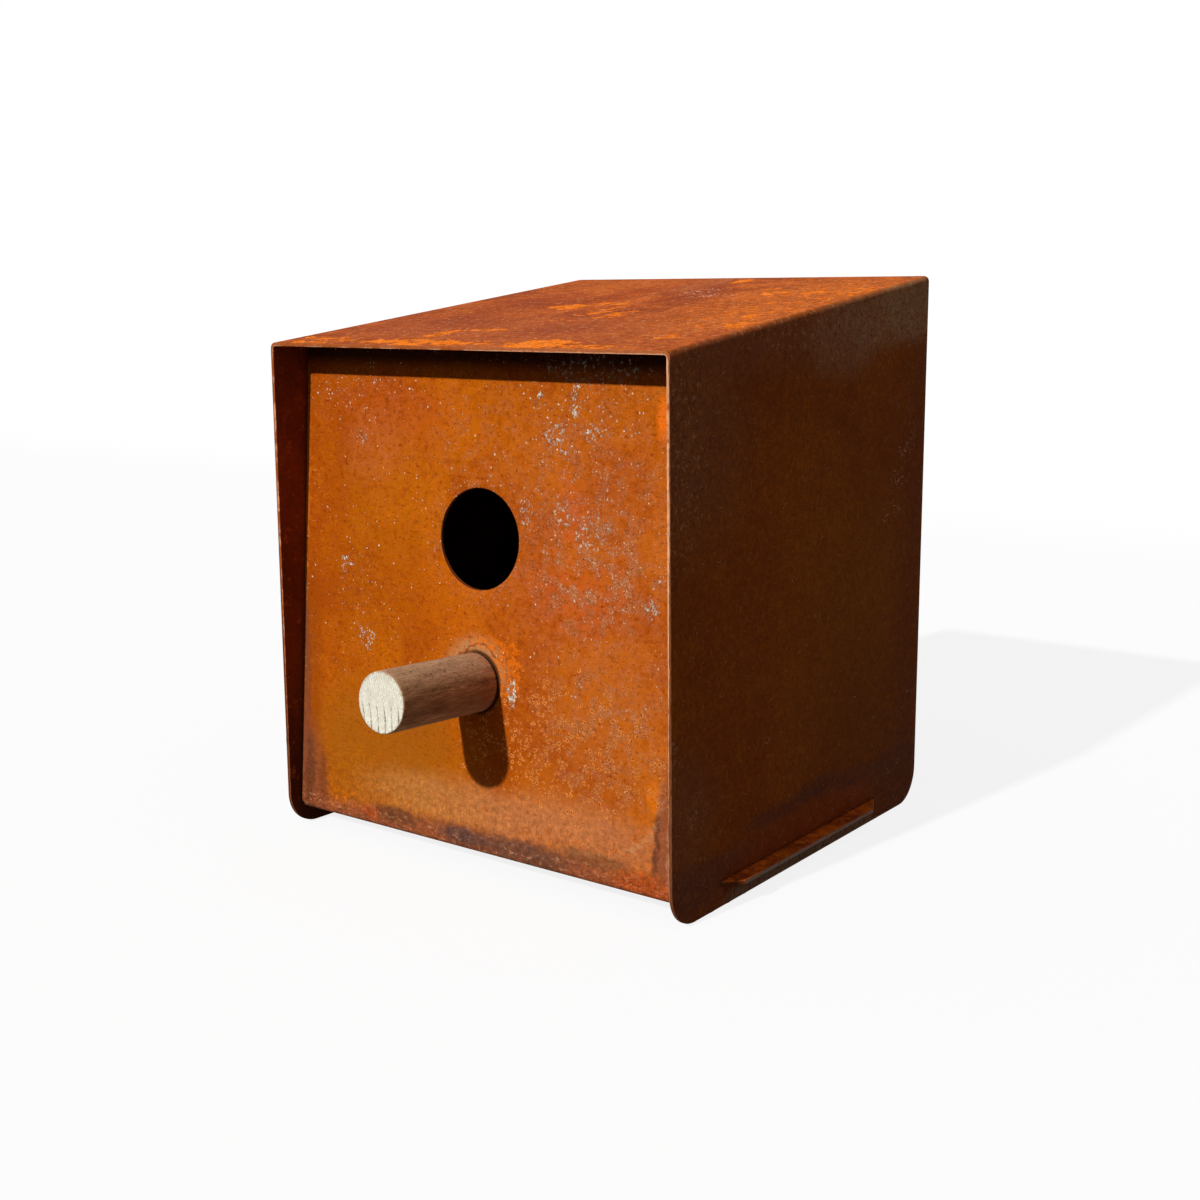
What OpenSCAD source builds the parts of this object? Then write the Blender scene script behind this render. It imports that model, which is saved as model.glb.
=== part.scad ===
// Wall birdhouse folded from weathering steel sheet, with a wooden perch.
// A folded tray carries the front, the floor and the wall plate. A folded hood drops over it
// and holds by the floor's tabs, which stand through a slot in each side.
// Millimetres, Z up. The wall is the plane Y = 0 and the front looks along -Y.

/* [Sheet] */
// Thickness of the steel sheet
sheet_t = 1.5; // [1:0.1:2.5]
// Inside radius of every fold
fold_r = 1; // [0.5:0.1:4]
// Clearance between the hood and the tray on each side
side_clear = 0.3; // [0.1:0.05:1]

/* [Hood] */
// Width over both sides
hood_w = 200; // [170:1:260]
// Depth of the roof from the wall to its front edge
hood_d = 206; // [180:1:260]
// How far the roof's front edge stands forward of the sides' foot
rake = 6; // [0:0.5:15]
// Height of the roof's front edge
front_h = 208; // [190:1:280]
// Rise of the roof from its front edge to the wall
roof_rise = 32.5; // [0:0.5:60]
// Radius of the sides' foot corners
foot_r = 15; // [2:0.5:30]

/* [Front panel] */
// Setback of the panel's face behind the hood's front edges, at the foot
front_setback = 5; // [2:0.2:15]
// Backward lean of the panel, in degrees
front_lean = 2.2; // [0:0.1:5]
// Air gap between the roof and the top of the front panel
front_gap = 3; // [1:0.5:10]
// Diameter of the entrance
entrance_d = 40; // [28:1:50]
// Height of the entrance's centre above the foot
entrance_z = 133; // [125:1:160]

/* [Floor] */
// Height of the floor's underside above the foot
floor_z = 8.1; // [6:0.1:14]
// Length of each side tab where it leaves the slot
tab_l = 126.4; // [60:0.2:150]
// Reach of each tab beyond the side's outer face
tab_out = 6.4; // [3:0.1:12]
// Length of the slant at the front end of a tab's free edge
tab_slant_front = 7.5; // [0:0.5:20]
// Length of the slant at the back end of a tab's free edge
tab_slant_back = 13.5; // [0:0.5:20]
// Distance of the tabs' middle from the wall
tab_y = 104.5; // [95:0.5:110]
// Clearance of the slot at each end of the tab
slot_clear = 0.4; // [0.1:0.05:1]
// Height of the slot over the tab, which rests on the slot's lower edge
slot_play = 0.5; // [0.1:0.1:2]
// Diameter of the drain holes
drain_d = 6; // [3:0.5:12]
// Drain holes along the width
drain_nx = 2; // [1:1:4]
// Drain holes along the depth
drain_ny = 2; // [1:1:4]
// Distance of the outer drain holes from the hood's sides, the wall and the front
drain_edge = 40; // [25:1:50]

/* [Wall plate] */
// Air gap between the roof and the top of the wall plate
wall_gap = 3; // [1:0.5:10]
// Diameter of the wall fixing holes
fix_d = 5.5; // [3:0.1:8]
// Spacing of the fixing holes along the width
fix_dx = 120; // [60:1:140]
// Spacing of the fixing holes in height
fix_dz = 150; // [80:1:160]
// Height of the middle of the fixing holes above the foot
fix_z = 120; // [100:1:125]

/* [Perch] */
// Diameter of the dowel
perch_d = 23.5; // [12:0.5:32]
// Length of the dowel from the panel's face, along its axis
perch_l = 52; // [30:1:90]
// Height of the dowel's axis above the foot, at the panel
perch_z = 76.5; // [60:0.5:90]
// Radius of the dowel's eased edges at both ends
perch_ease = 0.8; // [0.2:0.1:2]
// Shank diameter of the perch's wood screw
screw_d = 5; // [3:0.5:6]
// Length of the screw under its head
screw_l = 35; // [20:1:45]
// Diameter of the screw's head
head_d = 10; // [7:0.5:14]
// Height of the screw's head
head_h = 3.2; // [2:0.1:5]
// Diameter of the washer under the head
washer_d = 20; // [14:0.5:26]
// Thickness of the washer
washer_t = 1.2; // [0.8:0.1:2]
// Clearance of the screw in the panel and the washer
screw_clear = 0.25; // [0.1:0.05:0.5]
// Clearance of the screw in the dowel's pilot hole
pilot_clear = 0.05; // [0:0.01:0.2]
// Width over the corners of the head's six-sided socket
socket_d = 4.6; // [2:0.1:6]
// Depth of the head's socket
socket_h = 2; // [0.5:0.1:2.5]

/* [Hidden] */
$fn = 96;
steel = [0.62, 0.33, 0.15];
timber = [0.72, 0.60, 0.46];
zinc = [0.72, 0.73, 0.74];
// Outside radius of every fold
bend_r = fold_r + sheet_t;
// Slope of the roof from the front to the wall
roof_slope = atan2(roof_rise, hood_d);
// Width of the tray between the hood's sides
tray_w = hood_w - 2 * (sheet_t + side_clear);
// Depth of the sides at the foot, and the forward lean of their front edges
foot_d = hood_d - rake;
front_rake = atan2(rake, front_h);
// Depth of the panel's face plane in front of the wall, at the foot's level
panel_y0 = foot_d - front_setback;
// Height of the floor's upper face
floor_top = floor_z + sheet_t;
// Length and height of the slot that a tab stands through
slot_l = tab_l + 2 * slot_clear;
slot_h = sheet_t + slot_play;
// Height of the centres of the tray's folds, and the front fold's distance from the wall
fold_z = floor_z + bend_r;
front_fold_y = panel_y0 - (bend_r + fold_z * sin(front_lean)) / cos(front_lean);
// Height of the wall plate's top edge
wall_plate_h = roof_under(sheet_t) - wall_gap;
// Length of the panel's flat face from its fold to its top edge
panel_top_z = roof_under(panel_y(front_h)) - front_gap;
panel_l = (panel_top_z - fold_z - bend_r * sin(front_lean)) / cos(front_lean);
// More than any size of the house, and how far a cut runs past a face
far = 2 * (hood_w + hood_d + front_h + roof_rise);
cut = sheet_t;

// Height of the roof's upper face at a distance from the wall
function roof_top(y) = front_h + (hood_d - y) * tan(roof_slope);
// Height of the roof's underside at a distance from the wall
function roof_under(y) = roof_top(y) - sheet_t / cos(roof_slope);
// Distance of the panel's face from the wall at a height
function panel_y(z) = panel_y0 - z * tan(front_lean);

// Raises the model so that its origin is the middle of the wall fixing holes.
module placed() {
    translate([0, 0, -fix_z])
        children();
}

// Lays an outline drawn as (distance from the wall, height) across the house, centred on X = 0.
module across(w) {
    translate([w / 2, 0, 0])
        rotate([90, 0, -90])
            linear_extrude(w)
                children();
}

// Stands its children, drawn about +Z, on the panel's face at a height, square to the panel.
module on_panel(z) {
    translate([0, -panel_y(z), z])
        rotate([90 - front_lean, 0, 0])
            children();
}

// One side of the hood seen square on, with the roof's slope and two rounded foot corners.
module side_outline() {
    difference() {
        polygon([
            [0, 0],
            [foot_d, 0],
            [hood_d, roof_top(hood_d)],
            [0, roof_top(0)]
        ]);
        mirror([1, 0])
            foot_waste(0);
        translate([foot_d, 0])
            foot_waste(front_rake);
    }
}

// Waste outside a rounded foot corner at the origin, whose upright edge leans out by an angle.
module foot_waste(lean) {
    inset = foot_r * (1 - sin(lean)) / cos(lean);
    reach_x = foot_r * cos(lean) - inset;
    reach_z = foot_r * (1 - sin(lean));
    difference() {
        polygon([
            [-inset, -cut],
            [foot_r, -cut],
            [foot_r, reach_z],
            [reach_x, reach_z],
            [-inset, foot_r]
        ]);
        translate([-inset, foot_r])
            circle(foot_r);
    }
}

// Outline of given width whose flat top is at Y = 0, with both top corners rounded.
module fold_outline(w, r) {
    translate([-w / 2, -far])
        square([w, far - r]);
    translate([-w / 2 + r, -far])
        square([w - 2 * r, far]);
    for (s = [-1, 1])
        translate([s * (w / 2 - r), -r])
            circle(r);
}

// The folded sheet's section across the width, seen along the roof.
module hood_section() {
    difference() {
        fold_outline(hood_w, bend_r);
        translate([0, -sheet_t])
            fold_outline(hood_w - 2 * sheet_t, fold_r);
    }
}

// One sheet folded twice: left side, sloping roof and right side, with a slot in each side.
module hood() {
    color(steel)
        placed()
            difference() {
                intersection() {
                    translate([0, 0, roof_top(0)])
                        rotate([roof_slope, 0, 0])
                            rotate([90, 0, 0])
                                translate([0, 0, -far / 2])
                                    linear_extrude(far)
                                        hood_section();
                    across(hood_w + 2 * cut)
                        side_outline();
                }
                translate([-hood_w / 2 - cut, -tab_y - slot_l / 2, floor_z])
                    cube([hood_w + 2 * cut, slot_l, slot_h]);
            }
}

// Part of a fold's ring section between two angles, centred on the origin.
module fold_sector(a0, a1) {
    reach = 2 * bend_r;
    intersection() {
        difference() {
            circle(bend_r);
            circle(fold_r);
        }
        polygon([
            [0, 0],
            [reach * cos(a0), reach * sin(a0)],
            [reach * cos((a0 + a1) / 2), reach * sin((a0 + a1) / 2)],
            [reach * cos(a1), reach * sin(a1)]
        ]);
    }
}

// The tray's section from front to back: leaning front, floor and upright wall plate.
module tray_section() {
    translate([0, fold_z])
        square([sheet_t, wall_plate_h - fold_z]);
    translate([bend_r, fold_z])
        fold_sector(180, 270);
    translate([bend_r, floor_z])
        square([front_fold_y - bend_r, sheet_t]);
    translate([front_fold_y, fold_z]) {
        fold_sector(-90, front_lean);
        rotate(front_lean)
            translate([fold_r, 0])
                square([sheet_t, panel_l]);
    }
}

// Both side tabs as one plank in plan, with slanted ends on their free edges.
module tab_plank() {
    half_w = hood_w / 2 + tab_out;
    half_l = tab_l / 2;
    translate([0, -tab_y, floor_z])
        linear_extrude(sheet_t)
            polygon([
                [-half_w, -half_l + tab_slant_front],
                [-half_w + tab_out, -half_l],
                [half_w - tab_out, -half_l],
                [half_w, -half_l + tab_slant_front],
                [half_w, half_l - tab_slant_back],
                [half_w - tab_out, half_l],
                [-half_w + tab_out, half_l],
                [-half_w, half_l - tab_slant_back]
            ]);
}

// Round hole through a sheet whose face is at Z = 0 and whose body lies below it.
module sheet_hole(d) {
    translate([0, 0, -sheet_t - cut])
        cylinder(d = d, h = sheet_t + 2 * cut);
}

// Places its children over each drain hole.
module at_drains() {
    span_x = tray_w - 2 * drain_edge;
    span_y = front_fold_y - 2 * drain_edge;
    for (i = [0 : drain_nx - 1], j = [0 : drain_ny - 1]) {
        fx = drain_nx == 1 ? 0.5 : i / (drain_nx - 1);
        fy = drain_ny == 1 ? 0.5 : j / (drain_ny - 1);
        translate([(fx - 0.5) * span_x, -drain_edge - fy * span_y, 0])
            children();
    }
}

// Places its children at each wall fixing hole, on the wall plane.
module at_fixings() {
    for (x = [-1, 1], z = [-1, 1])
        translate([x * fix_dx / 2, 0, fix_z + z * fix_dz / 2])
            children();
}

// One sheet folded twice: front panel, floor with its side tabs, and wall plate.
module tray() {
    color(steel)
        placed()
            difference() {
                union() {
                    across(tray_w)
                        tray_section();
                    tab_plank();
                }
                on_panel(entrance_z)
                    sheet_hole(entrance_d);
                on_panel(perch_z)
                    sheet_hole(screw_d + 2 * screw_clear);
                translate([0, 0, floor_z + sheet_t])
                    at_drains()
                        sheet_hole(drain_d);
                at_fixings()
                    rotate([-90, 0, 0])
                        sheet_hole(fix_d);
            }
}

// Round dowel that stands square on the panel, with its pilot hole for the screw.
module perch() {
    color(timber)
        placed()
            on_panel(perch_z)
                difference() {
                    rotate_extrude()
                        dowel_outline();
                    screw_shank(screw_d / 2 + pilot_clear);
                }
}

// Half section of the dowel along its axis, with a rounded edge at each end.
module dowel_outline() {
    translate([0, perch_ease])
        square([perch_d / 2, perch_l - 2 * perch_ease]);
    square([perch_d / 2 - perch_ease, perch_l]);
    for (z = [perch_ease, perch_l - perch_ease])
        translate([perch_d / 2 - perch_ease, z])
            circle(perch_ease);
}

// Round shank with a pointed end, from inside the washer outward along +Z.
module screw_shank(r) {
    point_l = 1.5 * screw_d;
    start = -sheet_t - washer_t;
    translate([0, 0, start])
        cylinder(r = r, h = screw_l - point_l);
    translate([0, 0, start + screw_l - point_l])
        cylinder(r1 = r, r2 = r / 8, h = point_l);
}

// Wood screw driven from inside the house through the washer and the panel into the dowel.
module perch_screw() {
    color(zinc)
        placed()
            on_panel(perch_z) {
                difference() {
                    union() {
                        screw_shank(screw_d / 2);
                        translate([0, 0, -sheet_t - washer_t])
                            mirror([0, 0, 1])
                                rotate_extrude()
                                    head_outline();
                    }
                    translate([0, 0, -sheet_t - washer_t - head_h - cut])
                        cylinder(d = socket_d, h = socket_h + cut, $fn = 6);
                }
            }
}

// Half section of the pan head, flat below and rounded above.
module head_outline() {
    square([head_d / 2, head_h / 2]);
    square([head_d / 2 - head_h / 2, head_h]);
    translate([head_d / 2 - head_h / 2, head_h / 2])
        circle(head_h / 2);
}

// Flat washer between the screw's head and the panel's inner face.
module perch_washer() {
    color(zinc)
        placed()
            on_panel(perch_z)
                translate([0, 0, -sheet_t - washer_t])
                    difference() {
                        cylinder(d = washer_d, h = washer_t);
                        translate([0, 0, -cut])
                            cylinder(d = screw_d + 2 * screw_clear, h = washer_t + 2 * cut);
                    }
}

hood();
tray();
perch();
perch_screw();
perch_washer();
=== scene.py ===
"""Looks of a wall birdhouse: a folded weathering steel hood over a folded tray, with a round perch.

The pieces' sizes are millimetres, measured from the foot and from the wall. They become metres, in
the frame's own place, where a mesh is made.
"""

import logging
import math
from dataclasses import dataclass, field
from enum import Enum, IntEnum
from typing import Callable, Iterable, Iterator, Sequence

import bpy
import numpy as np
from mathutils import Matrix, Vector, noise
from mathutils.geometry import delaunay_2d_cdt


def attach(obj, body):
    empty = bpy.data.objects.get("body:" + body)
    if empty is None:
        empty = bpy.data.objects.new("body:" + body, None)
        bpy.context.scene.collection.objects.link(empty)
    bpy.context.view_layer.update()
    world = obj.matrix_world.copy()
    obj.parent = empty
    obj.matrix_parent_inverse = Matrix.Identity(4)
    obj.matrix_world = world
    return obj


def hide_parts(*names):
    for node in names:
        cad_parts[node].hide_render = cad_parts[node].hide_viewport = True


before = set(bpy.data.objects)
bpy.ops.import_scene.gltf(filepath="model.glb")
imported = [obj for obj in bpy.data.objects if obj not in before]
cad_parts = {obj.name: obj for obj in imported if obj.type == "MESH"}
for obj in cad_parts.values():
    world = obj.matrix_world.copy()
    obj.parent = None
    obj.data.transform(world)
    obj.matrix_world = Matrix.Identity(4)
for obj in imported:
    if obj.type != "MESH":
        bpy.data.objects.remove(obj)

LOG = logging.getLogger("birdhouse")
BODY = "root"
WHITE = (1.0, 1.0, 1.0, 1.0)
SMOOTH = {"interpolation_type": "SMOOTHSTEP"}
QUARTER = math.pi / 2
# Metres in a millimetre, and the height of the frame's origin above the foot in millimetres.
MM = 0.001
ORIGIN_HEIGHT = 120.0
# Spacing of a flat sheet's grid, and how far it keeps from a fold, in millimetres.
GRID = 5.0
FOLD_MARGIN = 0.6
# A face looks along an axis, or squarely along it, where its normal reaches further than this.
FACING = 0.5
SQUARE_ON = 0.9
# Least share of a step that a sharp corner of a sheet's edge takes inwards.
SHARPEST = 0.3
# Play in millimetres when a turned piece's rows are told apart.
SLACK = 0.01

Rows = np.ndarray
Material = bpy.types.Material
Piece = bpy.types.Object
Pair = tuple[float, float]
Triple = tuple[float, float, float]
Colour = tuple[float, float, float, float]
Triangle = tuple[int, int, int]


def srgb(*shown: int) -> Colour:
    """Turns a colour written as 0 to 255 into Blender's linear colour.

    Args:
        shown: Red, green and blue as they show on a screen.

    Returns:
        The linear colour with full opacity.
    """
    levels = [v / 255 for v in shown]
    linear = [v / 12.92 if v <= 0.04045 else ((v + 0.055) / 1.055) ** 2.4 for v in levels]
    return (*linear, 1.0)


class Slot(Enum):
    """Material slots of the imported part."""

    STEEL = "weathered_steel"
    TIMBER = "weathered_timber"
    ZINC = "zinc"


class Face(Enum):
    """A flat face of the house that a pattern is laid out on."""

    FRONT = "across and up"
    ROOF = "across and away from the wall"
    SIDE = "away from the wall and up"


@dataclass(frozen=True)
class House:
    """Sizes that the pieces share, in millimetres from the foot and the wall, and degrees."""

    sheet: float = 1.5
    fold_radius: float = 1.0
    side_clearance: float = 0.3
    width: float = 200.0
    roof_depth: float = 206.0
    rake: float = 6.0
    front_height: float = 208.0
    roof_rise: float = 32.5
    foot_radius: float = 15.0
    panel_setback: float = 5.0
    panel_lean: float = 2.2
    panel_gap: float = 3.0
    plate_gap: float = 3.0
    floor_height: float = 8.1
    tab_length: float = 126.4
    tab_reach: float = 6.4
    slant_front: float = 7.5
    slant_back: float = 13.5
    tab_middle: float = 104.5
    slot_clearance: float = 0.4
    slot_play: float = 0.5
    perch_height: float = 76.5
    washer: float = 1.2

    @property
    def bend(self) -> float:
        """Outside radius of every fold."""
        return self.fold_radius + self.sheet

    @property
    def middle_radius(self) -> float:
        """Radius of every fold along the middle of the sheet."""
        return self.fold_radius + self.sheet / 2

    @property
    def foot_depth(self) -> float:
        """Depth of the sides at the foot."""
        return self.roof_depth - self.rake

    @property
    def slope(self) -> float:
        """Slope of the roof, in radians."""
        return math.atan2(self.roof_rise, self.roof_depth)

    @property
    def lean(self) -> float:
        """Backward lean of the front panel, in radians."""
        return math.radians(self.panel_lean)

    @property
    def panel_foot(self) -> float:
        """Distance of the panel's face plane from the wall at the foot's level."""
        return self.foot_depth - self.panel_setback

    @property
    def tray_width(self) -> float:
        """Width of the tray between the hood's sides."""
        return self.width - 2 * (self.sheet + self.side_clearance)

    @property
    def fold_height(self) -> float:
        """Height of the centres of the tray's folds."""
        return self.floor_height + self.bend

    @property
    def front_fold(self) -> float:
        """Distance of the front fold's centre from the wall."""
        drop = self.bend + self.fold_height * math.sin(self.lean)
        return self.panel_foot - drop / math.cos(self.lean)

    def roof_top(self, depth: float) -> float:
        """Height of the roof's upper face at a distance from the wall."""
        return self.front_height + (self.roof_depth - depth) * math.tan(self.slope)

    def roof_under(self, depth: float) -> float:
        """Height of the roof's underside at a distance from the wall."""
        return self.roof_top(depth) - self.sheet / math.cos(self.slope)

    def panel_depth(self, height: float) -> float:
        """Distance of the panel's face from the wall at a height."""
        return self.panel_foot - height * math.tan(self.lean)

    def placed(self, across: Rows, depth: Rows, height: Rows) -> Rows:
        """Turns distances to the right, from the wall and above the foot into metres in the frame."""
        return np.stack([across, -depth, height - ORIGIN_HEIGHT], axis=-1) * MM


@dataclass(frozen=True)
class Seat:
    """The place on the panel's face that the perch and its screw stand on, square to the panel."""

    house: House

    @property
    def origin(self) -> Vector:
        """The place in metres."""
        height = self.house.perch_height
        depth = self.house.panel_depth(height)
        return Vector(self.house.placed(np.array(0.0), np.array(depth), np.array(height)))

    @property
    def turn(self) -> float:
        """Turn about X, in radians, from upright to square to the panel."""
        return QUARTER - self.house.lean

    def stand(self, points: Rows) -> Rows:
        """Turns millimetres across, up and out of the panel into metres in the frame."""
        turn = np.array(Matrix.Rotation(self.turn, 3, "X"))
        return points @ turn.T * MM + np.array(self.origin)


class Side(IntEnum):
    """Numbers of a folded sheet's materials, by the faces that have them."""

    OUTER = 0
    INNER = 1
    EDGE = 2
    UNDER = 3
    WALL = 4
    TAB = 5


def log_piece(piece: Piece) -> None:
    """Reports a finished piece and its count of faces."""
    LOG.info("%s: %d faces", piece.name, len(piece.data.polygons))


def new_piece(name: str, points: Rows, faces: Sequence[Sequence[int]],
              materials: Sequence[Material], which: Sequence[int] | None = None,
              crease: float = 28.0) -> Piece:
    """Makes an object from points in metres and puts it in the scene.

    Args:
        name: The object's name.
        points: One row of X, Y and Z for each vertex.
        faces: Vertex numbers of each face, anticlockwise seen from outside.
        materials: Materials in the order of their numbers.
        which: The material number of each face, or None where all faces have the first.
        crease: Angle in degrees from which an edge shades sharp.

    Returns:
        The new object.
    """
    mesh = bpy.data.meshes.new(name)
    mesh.from_pydata([tuple(p) for p in points], [], [tuple(int(i) for i in f) for f in faces])
    for material in materials:
        mesh.materials.append(material)
    if which is not None:
        mesh.polygons.foreach_set("material_index", np.asarray(which, np.int32))
    mesh.polygons.foreach_set("use_smooth", np.ones(len(mesh.polygons), bool))
    mesh.validate()
    mesh.set_sharp_from_angle(angle=math.radians(crease))
    mesh.update()
    piece = bpy.data.objects.new(name, mesh)
    bpy.context.scene.collection.objects.link(piece)
    return piece


def joined(operation: str, swapped: bool = False) -> Callable[["Wire", "Term"], "Wire"]:
    """Makes a wire's method that joins it with a number or wire by a Math node.

    Args:
        operation: The node's operation.
        swapped: Whether the wire is the second term.

    Returns:
        The method.
    """
    def method(wire: "Wire", other: "Term") -> "Wire":
        """Adds the node."""
        return wire.graph.math(operation, *((other, wire) if swapped else (wire, other)))

    return method


class Wire:
    """A socket's value in a node tree, with the arithmetic and patterns that are made of it."""

    def __init__(self, graph: "Board", socket: bpy.types.NodeSocket) -> None:
        """Keeps the tree and the socket that the value comes from."""
        self.graph = graph
        self.socket = socket
        self.flat = False

    def like(self, other: "Wire") -> "Wire":
        """Marks coordinates as flat where others are."""
        self.flat = other.flat
        return self

    __add__, __mul__, __pow__ = joined("ADD"), joined("MULTIPLY"), joined("POWER")
    __sub__, __rsub__ = joined("SUBTRACT"), joined("SUBTRACT", True)
    __truediv__, most = joined("DIVIDE"), joined("MAXIMUM")
    __lt__, __gt__ = joined("LESS_THAN"), joined("GREATER_THAN")

    def size(self) -> "Wire":
        """Gives the value without its sign."""
        return self.graph.math("ABSOLUTE", self)

    def step(self, start: "Term", end: "Term") -> "Wire":
        """Rises smoothly from 0 at start to 1 at end, which may lie below start."""
        inputs = {"Value": self, "From Min": start, "From Max": end}
        return self.graph.add("ShaderNodeMapRange", SMOOTH, inputs).out("Result")

    def ramp(self, stops: Sequence[tuple[float, Colour]]) -> "Wire":
        """Turns a value into a colour.

        Args:
            stops: Values and their colours, in rising order.

        Returns:
            The colour.
        """
        ramp = self.graph.add("ShaderNodeValToRGB", {}, {"Fac": self})
        elements = ramp.node.color_ramp.elements
        while len(elements) < len(stops):
            elements.new(0.5)
        for element, (place, colour) in zip(elements, stops):
            element.position = place
            element.color = colour
        return ramp.out("Color")

    def parts(self) -> tuple["Wire", "Wire", "Wire"]:
        """Gives a vector's three numbers."""
        split = self.graph.add("ShaderNodeSeparateXYZ", {}, {"Vector": self})
        return split.out("X"), split.out("Y"), split.out("Z")

    def away(self, centre: Pair) -> "Wire":
        """Gives a place's distance from a centre."""
        moved = self.graph.vector("SUBTRACT", self, (*centre, 0.0)).out("Vector")
        return self.graph.vector("LENGTH", moved).out("Value")

    def stretched(self, *factors: float) -> "Wire":
        """Scales coordinates by one number an axis."""
        return self.graph.vector("MULTIPLY", self, factors).out("Vector").like(self)

    def warped(self, size: float, reach: float) -> "Wire":
        """Pushes coordinates about, so that outlines laid on them run ragged.

        Args:
            size: Size of the waves in millimetres.
            reach: How far a point may move, in millimetres.

        Returns:
            The moved coordinates.
        """
        colour = self.patches(size, 3.0, 0.6, output="Color")
        push = self.graph.vector("SUBTRACT", colour, (0.5, 0.5, 0.5)).out("Vector")
        inputs = (push, (2 * reach, 2 * reach, 2 * reach), self)
        return self.graph.vector("MULTIPLY_ADD", *inputs).out("Vector").like(self)

    def patches(self, size: float, detail: float = 2.0, roughness: float = 0.5,
                distortion: float = 0.0, output: str = "Fac") -> "Wire":
        """Gives a noise from 0 to 1 about a middle of a half, over coordinates in millimetres.

        Args:
            size: Size of the patches in millimetres.
            detail: How many finer layers are added.
            roughness: Strength of the finer layers.
            distortion: How far the pattern is bent.
            output: Fac for one value or Color for three.

        Returns:
            The value or values.
        """
        inputs = {"Vector": self, "Scale": 1 / size, "Detail": detail, "Roughness": roughness,
                  "Distortion": distortion}
        kind = {"noise_dimensions": "2D" if self.flat else "3D"}
        return self.graph.add("ShaderNodeTexNoise", kind, inputs).out(output)

    def crust(self, size: float, share: "Term") -> "Wire":
        """Gives a mask of ragged spots over coordinates, closer where their share is larger."""
        return (self.patches(size, 5.0, 0.8) + share * 0.2).step(0.735, 0.79)

    def bloom(self, centre: Pair, reach: Pair, edge: float) -> "Wire":
        """Gives an oval mask over places on a face, 1 inside and 0 outside.

        Args:
            centre: The oval's centre.
            reach: Its two half widths.
            edge: Share of the half width over which it fades.

        Returns:
            The mask.
        """
        factors = (1 / reach[0], 1 / reach[1], 0.0)
        offset = (-centre[0] / reach[0], -centre[1] / reach[1], 0.0)
        moved = self.graph.vector("MULTIPLY_ADD", self, factors, offset).out("Vector")
        far = self.graph.vector("LENGTH", moved).out("Value")
        return far.step(1 + edge / 2, 1 - edge / 2)


Term = Wire | float
Paint = Wire | Colour
Coat = tuple[Term, Paint]


class Box:
    """A node with its outputs, which may be asked for by name or identifier."""

    def __init__(self, graph: "Board", node: bpy.types.Node) -> None:
        """Keeps the tree and the node."""
        self.graph = graph
        self.node = node

    def out(self, name: str) -> Wire:
        """Gives the output that has this name or identifier."""
        return Wire(self.graph, find_socket(self.node.outputs, name))


def find_socket(sockets: bpy.types.bpy_prop_collection, name: str) -> bpy.types.NodeSocket:
    """Finds a node's input or output by its identifier, or else by its name where it is in use."""
    fitting = [s for s in sockets if s.identifier == name]
    return (fitting or [s for s in sockets if s.name == name and s.enabled])[0]


class Board:
    """A node tree to which nodes are added by type, settings and sockets."""

    def __init__(self, tree: bpy.types.NodeTree) -> None:
        """Keeps the tree."""
        self.tree = tree

    def add(self, kind: str, settings: dict[str, str | bool], inputs: dict[str, object]) -> Box:
        """Adds a node.

        Args:
            kind: The node's type.
            settings: Its settings.
            inputs: Values or wires for its sockets.

        Returns:
            The node.
        """
        node = self.tree.nodes.new(kind)
        for name, value in settings.items():
            setattr(node, name, value)
        for name, value in inputs.items():
            socket = find_socket(node.inputs, name)
            if isinstance(value, Wire):
                self.tree.links.new(value.socket, socket)
            else:
                socket.default_value = value
        return Box(self, node)

    def math(self, operation: str, *terms: Term) -> Wire:
        """Adds a Math node with one, two or three terms."""
        inputs = dict(zip(("Value", "Value_001", "Value_002"), terms))
        return self.add("ShaderNodeMath", {"operation": operation}, inputs).out("Value")

    def vector(self, operation: str, *terms: Wire | Triple) -> Box:
        """Adds a Vector Math node with one, two or three terms."""
        inputs = dict(zip(("Vector", "Vector_001", "Vector_002"), terms))
        return self.add("ShaderNodeVectorMath", {"operation": operation}, inputs)

    def seen(self) -> Wire:
        """Gives 1 for the camera's rays, also once mirrored or let through, and 0 for others."""
        rays = self.add("ShaderNodeLightPath", {}, {})
        seen = rays.out("Is Camera Ray").most(rays.out("Is Glossy Ray"))
        return seen.most(rays.out("Is Transmission Ray"))


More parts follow.
